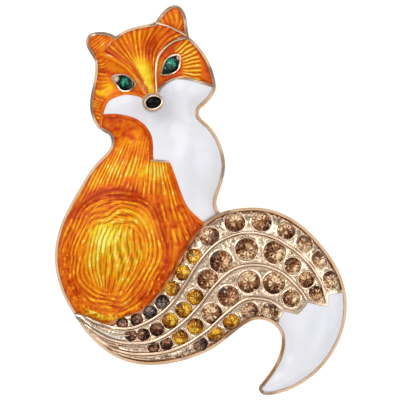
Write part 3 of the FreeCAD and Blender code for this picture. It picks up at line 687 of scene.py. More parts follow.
@dataclass
class Coat:
    """The orange enamel of the fox's coat, poured over chased strokes."""

    step: float = 0.09
    reach: float = 0.18
    thick: float = 0.3
    relief: float = 0.17

    def build(self) -> None:
        """Builds each pool of the coat in place of its node."""
        patterns = {
            "body": self.flank,
            "forehead": self.forehead,
            "face_left": self.face_left,
            "face_right": self.face_right,
            "ear_left": self.ear_left,
            "ear_right": self.ear_right,
        }
        for cell, pattern in patterns.items():
            patch = Patch("enamel_" + cell)
            x, y, inset, faces = patch.sheet(self.step, self.reach)
            u, v = to_pixels(x, y)
            ridge, tone = pattern(u, v)
            z = patch.height(x, y) + self.relief * (ridge - 0.75) * ease(0.0, 0.35, inset) - fall(inset)
            # The tone is darker within half a millimetre of the pool's border, and where the sheet runs past
            # it.
            tone_dark_at_border = tone - 0.22 * (1 - ease(-0.1, 0.5, inset)) + 0.16 * (grain(u / 1.3, v / 1.3, 19) - 0.5)
            # Painted glints: sparse pale spots on the ridges, higher in tone and in ridge.
            painted_glint = ease(0.6, 0.9, grain(u / 2.6, v / 3.4, 77)) * ease(0.35, 0.7, ridge)
            tint = orange(tone_dark_at_border + 0.26 * painted_glint, np.clip(ridge + 0.16 * painted_glint, 0, 1))
            pour("coat_" + cell, "enamel_" + cell, np.column_stack([x, y, z]), faces, COAT_ENAMEL,
                 tint, self.thick)

    @staticmethod
    def flank(u: np.ndarray, v: np.ndarray) -> tuple[np.ndarray, np.ndarray]:
        """Strokes of the neck, the back and the haunch with its ring."""
        lean = through_guides([
            (0, [(113, 138), (98, 163), (77, 200), (64, 224)]),
            (5, [(128, 134), (115, 163), (97, 200)]),
            (10, [(140, 134), (132, 163), (119, 200)]),
            (14, [(150, 138), (146, 163), (140, 200)]),
            (18, [(158, 158), (160, 180), (162, 208)]),
            (21.5, [(168, 160), (172, 182), (180, 212), (190, 236)]),
        ])
        across = lean(u, v)
        neck = 0.8 * strokes(across, v / 17, 3) + 0.35 * strokes(across * 1.9 + 0.3, v / 10, 4)
        calm = ease(170, 138, v + 0.35 * (u - 120) + 26 * (grain(u / 9, v / 14, 8) - 0.5))
        calm = np.maximum(calm, 0.75 * ease(0.5, 0.8, grain(u / 13, v / 9, 7)))
        neck = neck * (1 - 0.75 * calm) + 0.34 * calm
        neck_tone = 0.38 + 0.42 * bell(u, v, (147, 172, 26, 9, 0)) + 0.16 * bell(u, v, (112, 178, 14, 26, 30))
        neck_tone -= 0.14 * bell(u, v, (150, 200, 30, 14, 20)) + 0.2 * bell(u, v, (118, 126, 22, 10, 0))
        neck_tone -= 0.16 * bell(u, v, (182, 222, 16, 22, -30))
        # The haunch: rings round a whorl, on an ellipse that leans a little.
        east, north = (u - 116) / 52, (v - 256) / 64
        ring = np.hypot(east, north)
        turn = np.arctan2(north, east)
        rings = 0.75 * strokes(ring * 12 + 0.8 * np.sin(2 * turn), turn * 3.2, 11, 1.6)
        rings += 0.4 * strokes(ring * 25 + 1.1 * np.sin(2 * turn + 0.5), turn * 5.2, 12, 1.6)
        inside = through_guides([
            (0, [(78, 232), (74, 262), (90, 298)]),
            (4, [(98, 222), (92, 262), (102, 304)]),
            (8, [(116, 228), (110, 262), (108, 306)]),
            (11, [(134, 224), (134, 262), (116, 304)]),
            (15, [(152, 226), (158, 260), (134, 300)]),
        ])
        level = inside(u, v)
        upright = 0.8 * strokes(level, v / 17, 23, 1.5) + 0.35 * strokes(level * 2.2, v / 11, 24)
        core = ease(0.7, 0.45, ring) * ease(218, 232, v)
        worn = ease(0.76, 0.95, ring) * ease(235, 272, v)
        haunch = (rings * (1 - core) + upright * core) * (1 - 0.6 * worn)
        haunch += worn * (0.62 * grain(u / 1.7, v / 1.7, 25) - 0.04)
        smooth = bell(u, v, (149, 221, 13, 7, 40))
        haunch = haunch * (1 - 0.6 * smooth) + 0.36 * smooth
        haunch_tone = 0.31 + 0.27 * ease(0.95, 0.4, ring)
        haunch_tone += 0.6 * bell(u, v, (107, 238, 11, 17, 20)) + 0.36 * bell(u, v, (148, 221, 15, 10, 40))
        haunch_tone += 0.14 * bell(u, v, (126, 256, 10, 24, 15)) - 0.14 * bell(u, v, (120, 292, 30, 10, 0))
        haunch_tone -= 0.12 * bell(u, v, (150, 290, 34, 22, 0)) + 0.08 * bell(u, v, (76, 280, 16, 40, 0))
        haunch_tone += 0.9 * bell(u, v, (104, 316, 24, 5, 10)) * grain(u / 1.6, v / 1.6, 26)
        # The haunch's ring groove, sunk in the relief, with painted shade that darkens its tone.
        groove = np.exp(-((ring - 1.0) / 0.09) ** 2) * ease(318, 235, v) * ease(62, 84, u)
        over = ease(1.12, 0.98, ring)
        over = np.maximum(over, ease(290, 310, v))
        ridge = neck * (1 - over) + haunch * over
        tone = neck_tone * (1 - over) + haunch_tone * over - 0.4 * groove
        tone += 0.26 * (grain(u / 8, v / 8, 5) - 0.5) + 0.26 * (grain(u / 3.2, v / 4.2, 6) - 0.5)
        tone += calm * (1 - over) * (0.4 * (grain(u / 5 + v / 9, v / 3.5, 9) - 0.5) - 0.06)
        return np.clip(ridge, 0, 1) * (1 - 0.3 * groove) + 0.1 * groove, tone

    @staticmethod
    def forehead(u: np.ndarray, v: np.ndarray) -> tuple[np.ndarray, np.ndarray]:
        """A fan of strokes from the crown that runs down both sides of a yellow muzzle stripe."""
        fan = through_guides([
            (0, [(100, 60), (112, 62), (128, 72), (144, 90)]),
            (3, [(106, 50), (118, 58), (132, 70), (147, 92)]),
            (6, [(112, 40), (122, 52), (134, 66), (150, 92)]),
            (9, [(124, 34), (130, 48), (138, 66), (151, 94)]),
            (12, [(140, 30), (140, 46), (144, 68), (153, 94)]),
            (15, [(155, 33), (148, 48), (149, 70), (155, 92)]),
            (18, [(170, 32), (160, 42), (154, 58), (156, 88)]),
            (21, [(184, 37), (170, 44), (159, 60), (157, 84)]),
        ])
        across = fan(u, v)
        crown = bell(u, v, (138, 38, 20, 12, 0))
        ridge = strokes(across * 0.64, v / 26, 31, 0.7) * (1 - crown)
        ridge += strokes(across * 0.9, v / 40, 33, 0.3) * crown
        half = 2.2 + 2.6 * ease(48, 68, v)
        stripe = np.exp(-((across - 12.0) / half) ** 4) * ease(50, 68, v)
        ridge = 0.1 + 0.8 * ridge
        tone = 0.27 + 0.56 * stripe + 0.08 * crown
        tone -= 0.3 * bell(u, v, (154, 50, 5, 14, 12)) + 0.12 * bell(u, v, (112, 56, 12, 8, 30))
        tone -= 0.2 * bell(u, v, (147, 46, 3, 11, 5)) + 0.1 * bell(u, v, (168, 40, 10, 4, -15))
        tone += 0.16 * (grain(u / 5, v / 5, 35) - 0.5)
        return ridge * (1 - 0.6 * stripe) + 0.3 * stripe, tone

    @staticmethod
    def face_left(u: np.ndarray, v: np.ndarray) -> tuple[np.ndarray, np.ndarray]:
        """Short level strokes on the left cheek, yellow beside the eye."""
        across = (v - 0.25 * (u - 100)) / 4.4
        edge = ease(114, 104, u)
        ridge = (0.2 + 0.7 * strokes(across, u / 10, 41, 3.2)) * edge + 0.45 * (1 - edge)
        tone = 0.26 + 0.46 * bell(u, v, (110, 90, 7, 10, 10)) + 0.2 * bell(u, v, (122, 72, 16, 4, 20))
        tone -= 0.24 * bell(u, v, (108, 74, 14, 4, 15)) + 0.18 * (grain(u / 4, v / 4, 43) - 0.5)
        return ridge, tone

    @staticmethod
    def face_right(u: np.ndarray, v: np.ndarray) -> tuple[np.ndarray, np.ndarray]:
        """Yellow strokes that fan out beyond the right eye."""
        east, north = u - 158, v - 72
        turn = np.degrees(np.arctan2(-north, east))
        reach = np.hypot(east, north)
        fan = 0.5 + 0.5 * np.cos(2 * np.pi * (turn + 2 * (grain(reach / 6, turn / 9, 48) - 0.5)) / 6.4)
        spread = ease(24, 28, reach) * ease(47, 41, reach) * ease(-20, -13, turn) * ease(54, 46, turn)
        ridge = 0.4 * (1 - spread) + (0.1 + 0.9 * fan) * spread
        tone = 0.15 + 0.2 * spread + 0.28 * fan ** 1.4 * spread + 0.14 * (grain(u / 3, v / 3, 47) - 0.5)
        tone += 0.4 * bell(u, v, (160, 70, 4, 12, 10)) - 0.2 * bell(u, v, (166, 52, 12, 6, -30))
        return ridge, tone

    @staticmethod
    def ear_left(u: np.ndarray, v: np.ndarray) -> tuple[np.ndarray, np.ndarray]:
        """Short strokes along the left ear, paler in its middle."""
        across = (u * 0.64 + v * 0.77) / 3.0
        ridge = strokes(across, (u * 0.77 - v * 0.64) / 9, 53)
        tone = 0.28 + 0.36 * bell(u, v, (106, 47, 9, 3, -35)) + 0.2 * (grain(u / 3, v / 3, 54) - 0.5)
        return 0.18 + 0.62 * ridge, tone

    @staticmethod
    def ear_right(u: np.ndarray, v: np.ndarray) -> tuple[np.ndarray, np.ndarray]:
        """Strokes that spread up from the right ear's root."""
        turn = np.degrees(np.arctan2(u - 172, 44 - v))
        ridge = strokes(turn / 11, v / 9, 59)
        tone = 0.26 + 0.14 * bell(u, v, (176, 24, 6, 9, 10)) + 0.2 * (grain(u / 3, v / 3, 60) - 0.5)
        return 0.18 + 0.62 * ridge, tone


@dataclass
class WhiteCoat:
    """The white enamel of the cheeks, the chest and the tail's tip."""

    step: float = 0.14
    reach: float = 0.16
    thick: float = 0.3

    def build(self) -> None:
        """Builds both white pools in place of their nodes."""
        # Painted shade: bluish grey patches of each pool in pixels, each with its strength.
        painted_shade_spots = {
            "chest": [(170, 98, 12, 11, 0, 0.8), (192, 172, 9, 40, 0, 0.35), (112, 100, 12, 6, 0, 0.2)],
            "tail_tip": [(310, 330, 7, 34, 25, 0.35), (330, 318, 5, 30, 10, 0.4)],
        }
        for cell, spots in painted_shade_spots.items():
            patch = Patch("enamel_" + cell, 1.2)
            x, y, inset, faces = patch.sheet(self.step, self.reach)
            u, v = to_pixels(x, y)
            tint = blend(shade("#E9E9EE"), shade("#D2D6DE"), np.clip(bells(u, v, spots), 0, 1))
            tint = blend(tint, shade("#EFC98A"), 0.8 * bell(u, v, (197, 222, 7, 4, 30)))
            z = patch.height(x, y) - fall(inset)
            pour("white_" + cell, "enamel_" + cell, np.column_stack([x, y, z]), faces, WHITE_ENAMEL,
                 tint, self.thick)


class Tint(Enum):
    """Tints of the cut stones: body colour, a painted flash of reflected light and a painted deep shade."""

    CHAMPAGNE = ("#986238", "#FFE2B8", "#361608")
    ROSE = ("#8C5430", "#F8CE9E", "#2C1206")
    AMBER = ("#B46C0A", "#FFD24C", "#461E02")
    BROWN = ("#482616", "#C08A66", "#140704")
    SMOKE = ("#382A24", "#A08C7E", "#0E0806")
    GREEN = ("#064A3A", "#58C0A4", "#01140E")


@dataclass
class Gem:
    """Where a stone sits: its table's and its girdle's middle, its axis, its radius and its depth."""

    top: np.ndarray
    middle: np.ndarray
    axis: np.ndarray
    radius: float
    depth: float


def gem_at(node: str) -> Gem:
    """Reads a stone's place from its CAD node: the table gives the axis, the widest ring the radius."""
    corners, triangles = node_arrays(node)
    unit, area = face_normals(corners, triangles)
    axis = unit[np.argmax(area * (unit[:, 2] > 0.5))]
    table = (unit @ axis > 0.9999) & (area > SMALL)
    top = corners[np.unique(triangles[table])].mean(axis=0)
    offset = corners - top
    level = offset @ axis
    radius = np.linalg.norm(offset - level[:, None] * axis, axis=1)
    girdle = level[radius > 0.98 * radius.max()].mean()
    return Gem(top, top + girdle * axis, axis, float(radius.max()), float(-level.min()))


@dataclass
class Stones:
    """The round brilliants of the tail and the eyes, cut over the CAD stones' own places, each facet coloured
    with painted reflection.
    """

    table: float = 0.56
    crown: float = 0.16
    girdle: float = 0.05
    pavilion: float = 0.36
    wedges: int = 16
    rows: dict[str, tuple[Tint, ...]] = field(default_factory=lambda: {
        "upper": (Tint.BROWN,) * 2 + (Tint.SMOKE,) * 2 + (Tint.AMBER,) * 3 + (Tint.CHAMPAGNE,) * 7,
        "second": ((Tint.BROWN,) * 3 + (Tint.AMBER,) * 3 + (Tint.ROSE,) * 2 + (Tint.CHAMPAGNE,) * 3
                   + (Tint.ROSE,) * 2),
        "third": (Tint.BROWN,) * 2 + (Tint.AMBER,) * 2 + (Tint.CHAMPAGNE, Tint.ROSE) + (Tint.CHAMPAGNE,) * 3,
        "lower": (Tint.BROWN,) + (Tint.AMBER,) * 2 + (Tint.CHAMPAGNE,) * 2,
    })

    def build(self) -> None:
        """Cuts every stone."""
        number = 0
        for row, tints in self.rows.items():
            for order, tint in enumerate(tints, start=1):
                number += 1
                self.cut("%s_%02d" % (row, order), tint, number)
        for side in ("left", "right"):
            number += 1
            self.cut("eye_" + side, Tint.GREEN, number)
        LOG.info("stones: %d", number)

    def cut(self, label: str, tint: Tint, seed: int) -> None:
        """Cuts one stone: table, crown, girdle and pavilion round the axis of its node.

        Args:
            label: the node's name after the word stone.
            tint: the stone's tint.
            seed: chooses its painted flashes.
        """
        node = "stone_" + label
        gem = gem_at(node)
        side = np.cross([0.0, 1.0, 0.0], gem.axis)
        side /= np.linalg.norm(side)
        up = np.cross(gem.axis, side)
        random = np.random.default_rng(seed)
        turn = random.uniform(0, 2 * np.pi)
        wide = 2 * gem.radius
        # Rings from the table's middle outwards and down: share of the radius, and depth below the table.
        girdle = self.crown + self.girdle
        rings = [(0.2, 0.0), (self.table, 0.0), (0.78, 0.5 * self.crown * wide), (1.0, self.crown * wide),
                 (1.0, girdle * wide), (0.08, (girdle + self.pavilion) * wide)]
        rings = [(share, min(depth, gem.depth)) for share, depth in rings]
        angle = turn + 2 * np.pi * np.arange(self.wedges) / self.wedges
        skew = np.pi / self.wedges
        points = [gem.top]
        for order, (share, depth) in enumerate(rings):
            spin = angle + (skew if order == 2 else 0)
            ring = gem.top + gem.radius * share * (np.cos(spin)[:, None] * side + np.sin(spin)[:, None] * up)
            points.extend(ring - depth * gem.axis)
        points.append(gem.top - rings[-1][1] * gem.axis)
        faces, tones = self.facets(random, len(rings))
        # The flash and deep tints are painted light and painted shade.
        body, flash, deep = (shade(code) for code in tint.value)
        stops = np.stack([deep, body, flash])
        colours = np.stack([np.interp(tones, [0, 0.5, 1], stops[:, k]) for k in range(3)], axis=1)
        piece = put("cut_" + label, np.array(points), faces, FOILED_GLASS, smooth=False,
                    tint=colours, by_face=True)
        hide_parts(node)

    def facets(self, random: np.random.Generator, rings: int) -> tuple[list[list[int]], np.ndarray]:
        """Facets between the rings, with a tone of painted reflection for each.

        Args:
            random: the stone's own random numbers.
            rings: the number of rings.

        Returns:
            Faces, and tones from 0, painted deep shade, to 1, painted flash.
        """
        count = self.wedges
        faces, tones = [], []
        # Painted reflection: wedges, heart, crown and pavilion take light and dark tones, lean lightens one
        # side of the stone and darkens the other, and painted glints pick out a few crown facets.
        pairs = np.arange(count) // 2
        painted_wedge_light = np.where(np.arange(count) % 2 == 0, 0.12, 0.58)
        painted_wedge_light += random.uniform(-0.2, 0.42, count // 2)[pairs] + random.uniform(-0.1, 0.1, count)
        painted_wedge_light += np.where(random.uniform(0, 1, count) > 0.84, 0.4, 0)
        painted_heart_light = 0.3 + random.uniform(-0.25, 0.35, count // 2)[pairs]
        painted_glint = np.where(random.uniform(0, 1, count) > 0.8, 0.45, 0)
        lean = 0.3 * np.cos(2 * np.pi * np.arange(count) / count - random.uniform(0, 6))
        for k in range(count):
            after = (k + 1) % count
            faces.append([0, 1 + k, 1 + after])
            tones.append(painted_heart_light[k])
        for ring in range(rings - 1):
            first, second = 1 + ring * count, 1 + (ring + 1) * count
            for k in range(count):
                after = (k + 1) % count
                if ring == 1:
                    faces += [[first + k, second + k, first + after],
                              [first + after, second + k, second + after]]
                    tones += [0.52 + lean[k] + painted_glint[k] + random.uniform(-0.2, 0.2),
                              0.34 + lean[k] + random.uniform(-0.25, 0.3)]
                elif ring == 2:
                    faces += [[first + k, second + k, second + after],
                              [first + k, second + after, first + after]]
                    tones += [0.42 + lean[k] + painted_glint[k - 3] + random.uniform(-0.25, 0.35),
                              0.26 + lean[k] + random.uniform(-0.2, 0.2)]
                else:
                    faces.append([first + k, second + k, second + after, first + after])
                    tones.append(painted_wedge_light[k] + lean[k] if ring == 0 else 0.15)
        last, tip = 1 + (rings - 1) * count, 1 + rings * count
        for k in range(count):
            faces.append([last + k, tip, last + (k + 1) % count])
            tones.append(0.1)
        return faces, np.clip(np.array(tones), 0, 1)


TAIL_OUTLINE = [
    [(-17.6, -15.8), (-14.8, -16.5), (-13.0, -17.0), (-11.3, -16.5), (-8.1, -15.2), (-5.0, -11.8),
     (-2.4, -7.0), (-0.4, -4.1), (2.4, -2.0), (5.5, -1.2), (9.4, -1.3), (13.3, -3.0), (16.9, -6.4),
     (19.5, -10.6), (20.3, -14.3), (19.8, -18.1), (18.1, -21.7), (15.3, -24.7), (11.9, -26.6), (9.1, -27.2)],
    [(9.1, -27.2), (8.4, -26.9), (8.1, -26.4), (8.3, -25.8)],
    [(8.3, -25.8), (9.9, -23.7), (11.1, -21.1), (11.1, -18.6), (9.8, -17.1), (7.7, -16.7), (5.0, -18.2),
     (1.7, -20.7), (-2.2, -22.3), (-6.4, -23.0), (-11.3, -22.1), (-15.5, -18.8), (-17.2, -16.5)],
    [(-17.2, -16.5), (-17.6, -15.8)],
]
BODY_OUTLINE = [
    [(-14.7, 19.1), (-15.5, 20.6), (-16.0, 22.0), (-15.6, 22.9), (-14.6, 23.3), (-13.2, 23.3), (-11.8, 22.7)],
    [(-11.8, 22.7), (-9.9, 23.8), (-8.5, 24.2), (-6.3, 24.6)],
    [(-6.3, 24.6), (-4.3, 26.9), (-3.5, 27.1), (-2.8, 26.8), (-1.9, 24.6), (-1.6, 22.6)],
    [(-1.6, 22.6), (0.9, 19.7), (2.0, 16.7), (2.1, 15.5), (1.6, 14.4), (-0.1, 12.7)],
    [(-0.1, 12.7), (-0.2, 11.7), (0.8, 10.6), (2.9, 7.4), (3.4, 4.6), (2.7, 1.5), (2.2, -0.8), (2.7, -1.8)],
    [(2.7, -1.8), (-0.1, -8.7), (-5.7, -16.1), (-9.9, -18.0), (-14.1, -17.9), (-17.2, -16.5)],
    [(-17.2, -16.5), (-19.4, -12.6), (-20.3, -8.1), (-19.5, -3.6), (-16.9, 1.5), (-14.1, 5.5),
     (-12.4, 8.0), (-12.6, 8.8), (-13.3, 9.3)],
    [(-13.3, 9.3), (-14.6, 10.4), (-15.4, 12.9), (-15.0, 16.0), (-14.7, 19.1)],
]
# Lines between the cells that the coat's enamel has flooded, with the tone it has there.
FLOODED = {
    "cheek_left": (0.3, [(-13.6, 11.6), (-13.6, 12.3), (-12.7, 13.9), (-10.6, 14.7), (-8.5, 14.5),
                         (-7.4, 13.7)]),
    "chin": (0.12, [(-13.6, 11.6), (-11.3, 11.6), (-8.5, 10.7), (-7.0, 8.7), (-6.8, 6.2), (-6.7, 5.4)]),
    "bib_side": (0.2, [(-4.5, 5.2), (-3.7, 3.2), (-2.2, -0.8), (-0.6, -2.6), (1.4, -4.3)]),
    "jaw": (0.3, [(-13.6, 11.6), (-13.85, 10.7), (-13.7, 9.9)]),
    "brow_left": (0.45, [(-14.2, 19.9), (-13.6, 20.1), (-11.3, 19.0), (-9.3, 17.3), (-7.4, 14.3)]),
    "ear_left": (0.3, [(-14.6, 19.6), (-13.4, 20.9), (-12.0, 22.5)]),
}
# Lines that stay bare metal, with the half width of their bead.
BARE = {
    "cheek_right": (0.16, [(-6.0, 14.4), (-5.2, 15.8), (-3.4, 16.8), (-0.6, 16.5), (2.0, 15.7)]),
    "bib_step": (0.12, [(-6.7, 5.4), (-4.5, 5.2)]),
    "muzzle_right": (0.17, [(-1.6, 22.5), (-3.9, 21.8), (-5.7, 19.9), (-6.1, 17.4), (-6.0, 14.4)]),
    "ear_right": (0.16, [(-6.6, 24.6), (-4.3, 24.0), (-1.7, 22.6)]),
}
# The middles of the tail's three ribs.
RIBS = {
    "upper": [(-16.4, -16.1), (-12.9, -17.5), (-9.8, -17.8), (-6.7, -16.6), (-4.1, -14.5), (-2.0, -11.5),
              (0.0, -8.4), (2.8, -5.7), (6.6, -4.5), (10.5, -5.4), (14.0, -7.8), (16.5, -11.1),
              (17.5, -14.5)],
    "middle": [(-16.4, -17.1), (-13.0, -19.1), (-9.7, -19.9), (-6.3, -19.5), (-3.1, -17.6), (-0.5, -15.1),
               (1.7, -12.2), (4.5, -9.7), (7.8, -9.0), (11.1, -10.0), (13.6, -12.3), (14.8, -14.0)],
    "lower": [(-15.3, -18.6), (-11.5, -20.9), (-7.4, -21.4), (-3.2, -20.6), (0.6, -18.4), (3.5, -15.8),
              (6.4, -13.8), (9.4, -13.9), (11.5, -15.3)],
}
# Fine ridges of the tail's root, in pixels.
ROOT_RIDGES = {
    "first": [(86, 318.5), (104, 329), (122, 334), (138, 334.5)],
    "second": [(88, 327), (106, 341), (128, 346.5), (148, 347)],
    "third": [(96, 340), (112, 350), (135, 357), (152, 359)],
}
# A loop round the white tip, where the stone field and its grains end.
TIP_ZONE = np.array([(25.0, -12.7), (19.0, -12.8), (17.6, -13.1), (17.5, -14.6), (14.8, -14.0), (13.4, -15.7),
                     (11.5, -15.3), (10.4, -18.4), (6.0, -30.0), (25.0, -30.0)])


class Relief:
    """A domed front: edge height, and a rise that rolls up from the outline, faired as the casting is."""

    def __init__(self, stretches: list[list[tuple[float, float]]], form: "Form") -> None:
        """Fairs the relief through stations on a square grid.

        Args:
            stretches: the outline, each stretch a smooth curve.
            form: the dome's sizes and swellings.
        """
        self.loop = np.concatenate([smooth_path(np.array(points), OUTLINE_STEP)[:-1] for points in stretches])
        margin = 2 * form.step
        x, y, _ = grid_over(self.loop.min(axis=0) - margin, self.loop.max(axis=0) + margin, form.step)
        inset = np.maximum(self.inset(x, y), -form.outside * form.roll)
        rolled = (1 - np.exp(-inset / form.roll)) * (form.rise + bells(x, y, form.swells))
        self.top = TopFit(np.column_stack([x, y, form.edge + bells(x, y, form.lifts) + rolled]), form.step)

    def inset(self, x: np.ndarray, y: np.ndarray) -> np.ndarray:
        """Distance from the outline, positive inside it."""
        return inset_in(x, y, self.loop)


@dataclass(frozen=True)
class Form:
    """Sizes of a domed front in millimetres. A swelling is a middle, two radii, a turn and a rise.

    The rolled edge goes on past the outline by the outside share of its width.
    """

    edge: float
    rise: float
    roll: float
    swells: tuple[tuple[float, ...], ...]
    lifts: tuple[tuple[float, ...], ...] = ()
    step: float = 1.6
    outside: float = 0.8


TAIL_FORM = Form(
    2.6, 1.5, 1.3,
    ((6.0, -8.5, 9.0, 6.0, 0.0, 0.9), (14.5, -20.0, 4.0, 5.0, -25.0, 0.4),
     (-14.0, -18.5, 5.0, 3.0, -20.0, -0.3)),
    ((-7.5, -10.5, 16.0, 5.5, 38.0, 2.4),))
BODY_FORM = Form(
    2.5, 1.3, 1.4,
    ((-12.2, -7.4, 7.4, 8.8, 0.0, 1.7), (-9.0, 3.0, 4.5, 6.0, -20.0, 0.5), (-0.8, 6.2, 3.2, 7.5, 0.0, 1.2),
     (-8.2, 19.8, 5.0, 3.6, 0.0, 1.2), (-6.9, 14.4, 2.1, 4.0, 12.0, 2.3), (-11.2, 12.8, 2.4, 1.8, 15.0, 0.7),
     (-1.6, 14.4, 2.4, 2.4, 0.0, 0.9), (-4.6, 11.2, 1.8, 1.5, 0.0, -0.5), (-14.2, 21.6, 1.8, 1.6, 0.0, -0.9),
     (-3.6, 25.3, 1.9, 2.0, 0.0, -1.0), (-10.6, 16.2, 1.6, 1.1, -20.0, -0.5),
     (-4.1, 18.6, 1.2, 1.7, -30.0, -0.6)))


def headings(path: np.ndarray) -> np.ndarray:
    """The unit direction of a path at each of its points."""
    along = np.gradient(path, axis=0)
    return along / np.linalg.norm(along, axis=1)[:, None]


def bead(name: str, relief: Relief, line: np.ndarray, half: float, high: float, lift: float,
         finish: Finish = PLATE, tone: float | None = None) -> None:
    """A rounded bead along a line in the plan: an ellipse carried along it, tapered to its ends.

    Args:
        name: the piece's name.
        relief: the domed front that it lies on.
        line: the line's points in millimetres.
        half: half width.
        high: height above the ground it lies on.
        lift: height of that ground above the relief.
        finish: the bead's finish.
        tone: the enamel's tone, for a line that the coat has flooded.
    """
    path = smooth_path(line, BEAD_STEP)
    along = headings(path)
    side = np.column_stack([-along[:, 1], along[:, 0]])
    share = np.linspace(0, 1, len(path))
    taper = np.sqrt(np.clip(np.minimum(share, 1 - share) / BEAD_TAPER, 0.02, 1))[:, None]
    angle = np.linspace(0, 2 * np.pi, BEAD_SIDES, endpoint=False)
    spot = path[:, None, :] + (half * taper * np.cos(angle))[:, :, None] * side[:, None, :]
    base = relief.top(path[:, 0], path[:, 1]) + lift
    z = base[:, None] - BEAD_SINK + high * taper * np.sin(angle)
    corners = np.concatenate([spot, z[:, :, None]], axis=2).reshape(-1, 3)
    number = np.arange(z.size).reshape(z.shape)
    after = np.roll(number, -1, axis=1)
    faces = np.stack([number[:-1], number[1:], after[1:], after[:-1]], axis=-1).reshape(-1, 4).tolist()
    faces += [number[0].tolist(), number[-1][::-1].tolist()]
    tint = None
    if tone is not None:
        tint = orange(tone + 0.3 * (grain(corners[:, 0] / 0.5, corners[:, 1] / 0.5, 91) - 0.5))
    put(name, corners, faces, finish, tint=tint)


# Inner edge of the metal wall round each eye, a closed almond, with the pale corner's place and reach.
EYES = {
    "left": ([(-12.1, 17.0), (-11.4, 17.2), (-10.4, 17.1), (-9.6, 16.6), (-9.1, 15.9), (-9.7, 15.3),
              (-10.5, 15.1), (-11.2, 15.5), (-11.8, 16.3)], (-11.8, 16.8, 0.62)),
    "right": ([(-5.3, 17.5), (-5.1, 18.3), (-4.7, 19.2), (-4.0, 19.8), (-3.0, 19.9), (-2.9, 19.1),
               (-3.1, 18.3), (-3.7, 17.7), (-4.5, 17.4)], (-3.0, 19.7, 0.42)),
}


@dataclass
class EyeShadeSheets:
    """A sheet of painted shadow and green reflection that lines each eye's almond, with one pale corner left
    bare.
    """

    relief: Relief
    step: float = 0.07
    depth: float = 0.22
    reach: float = 0.09
    stone_drop: float = 0.3
    thick: float = 0.12

    def build(self) -> None:
        """Lays both sheets. Each drops away under the stone, so that the stone shows at its full size."""
        for side, (almond, (corner_x, corner_y, pale_reach)) in EYES.items():
            loop = smooth_path(np.array(almond), 0.1, closed=True)
            x, y, count = grid_over(loop.min(axis=0) - 0.1, loop.max(axis=0) + 0.1, self.step)
            used, faces = kept_cells((inset_in(x, y, loop) > -self.reach).reshape(count))
            x, y = x[used], y[used]
            pale = ease(pale_reach, 0.45 * pale_reach, np.hypot(x - corner_x, y - corner_y))
            gem = gem_at("stone_eye_" + side)
            near = np.hypot(x - gem.middle[0], y - gem.middle[1]) - gem.radius
            z = self.relief.top(x, y) - self.depth - self.stone_drop * ease(0.06, -0.04, near)
            # Painted shadow and reflection of the green stone: dark green round the stone, blending to pale
            # at the bare corner.
            piece = put("eye_shade_sheet_" + side, np.column_stack([x, y, z]), faces, COAT_ENAMEL,
                        tint=blend(shade("#10241A"), shade("#DCC8AC"), pale))
            thicken(piece, self.thick)
        LOG.info("eye pools: %d", len(EYES))


@dataclass
class FaceLines:
    """The lines between the enamel cells: some bare and rounded by polishing, some flooded by the coat."""

    relief: Relief
    bare_high: float = 0.17
    bare_lift: float = 0.02
    flooded_half: float = 0.26
    flooded_high: float = 0.2

    def build(self) -> None:
        """Lays a bead along every line."""
        for name, (half, points) in BARE.items():
            bead("bare_line_" + name, self.relief, np.array(points), half, self.bare_high, self.bare_lift,
                 LINE_PLATE)
        for name, (tone, points) in FLOODED.items():
            bead("flooded_line_" + name, self.relief, np.array(points), self.flooded_half, self.flooded_high,
                 0.0, COAT_ENAMEL, tone)
        LOG.info("cell lines: %d", len(BARE) + len(FLOODED))


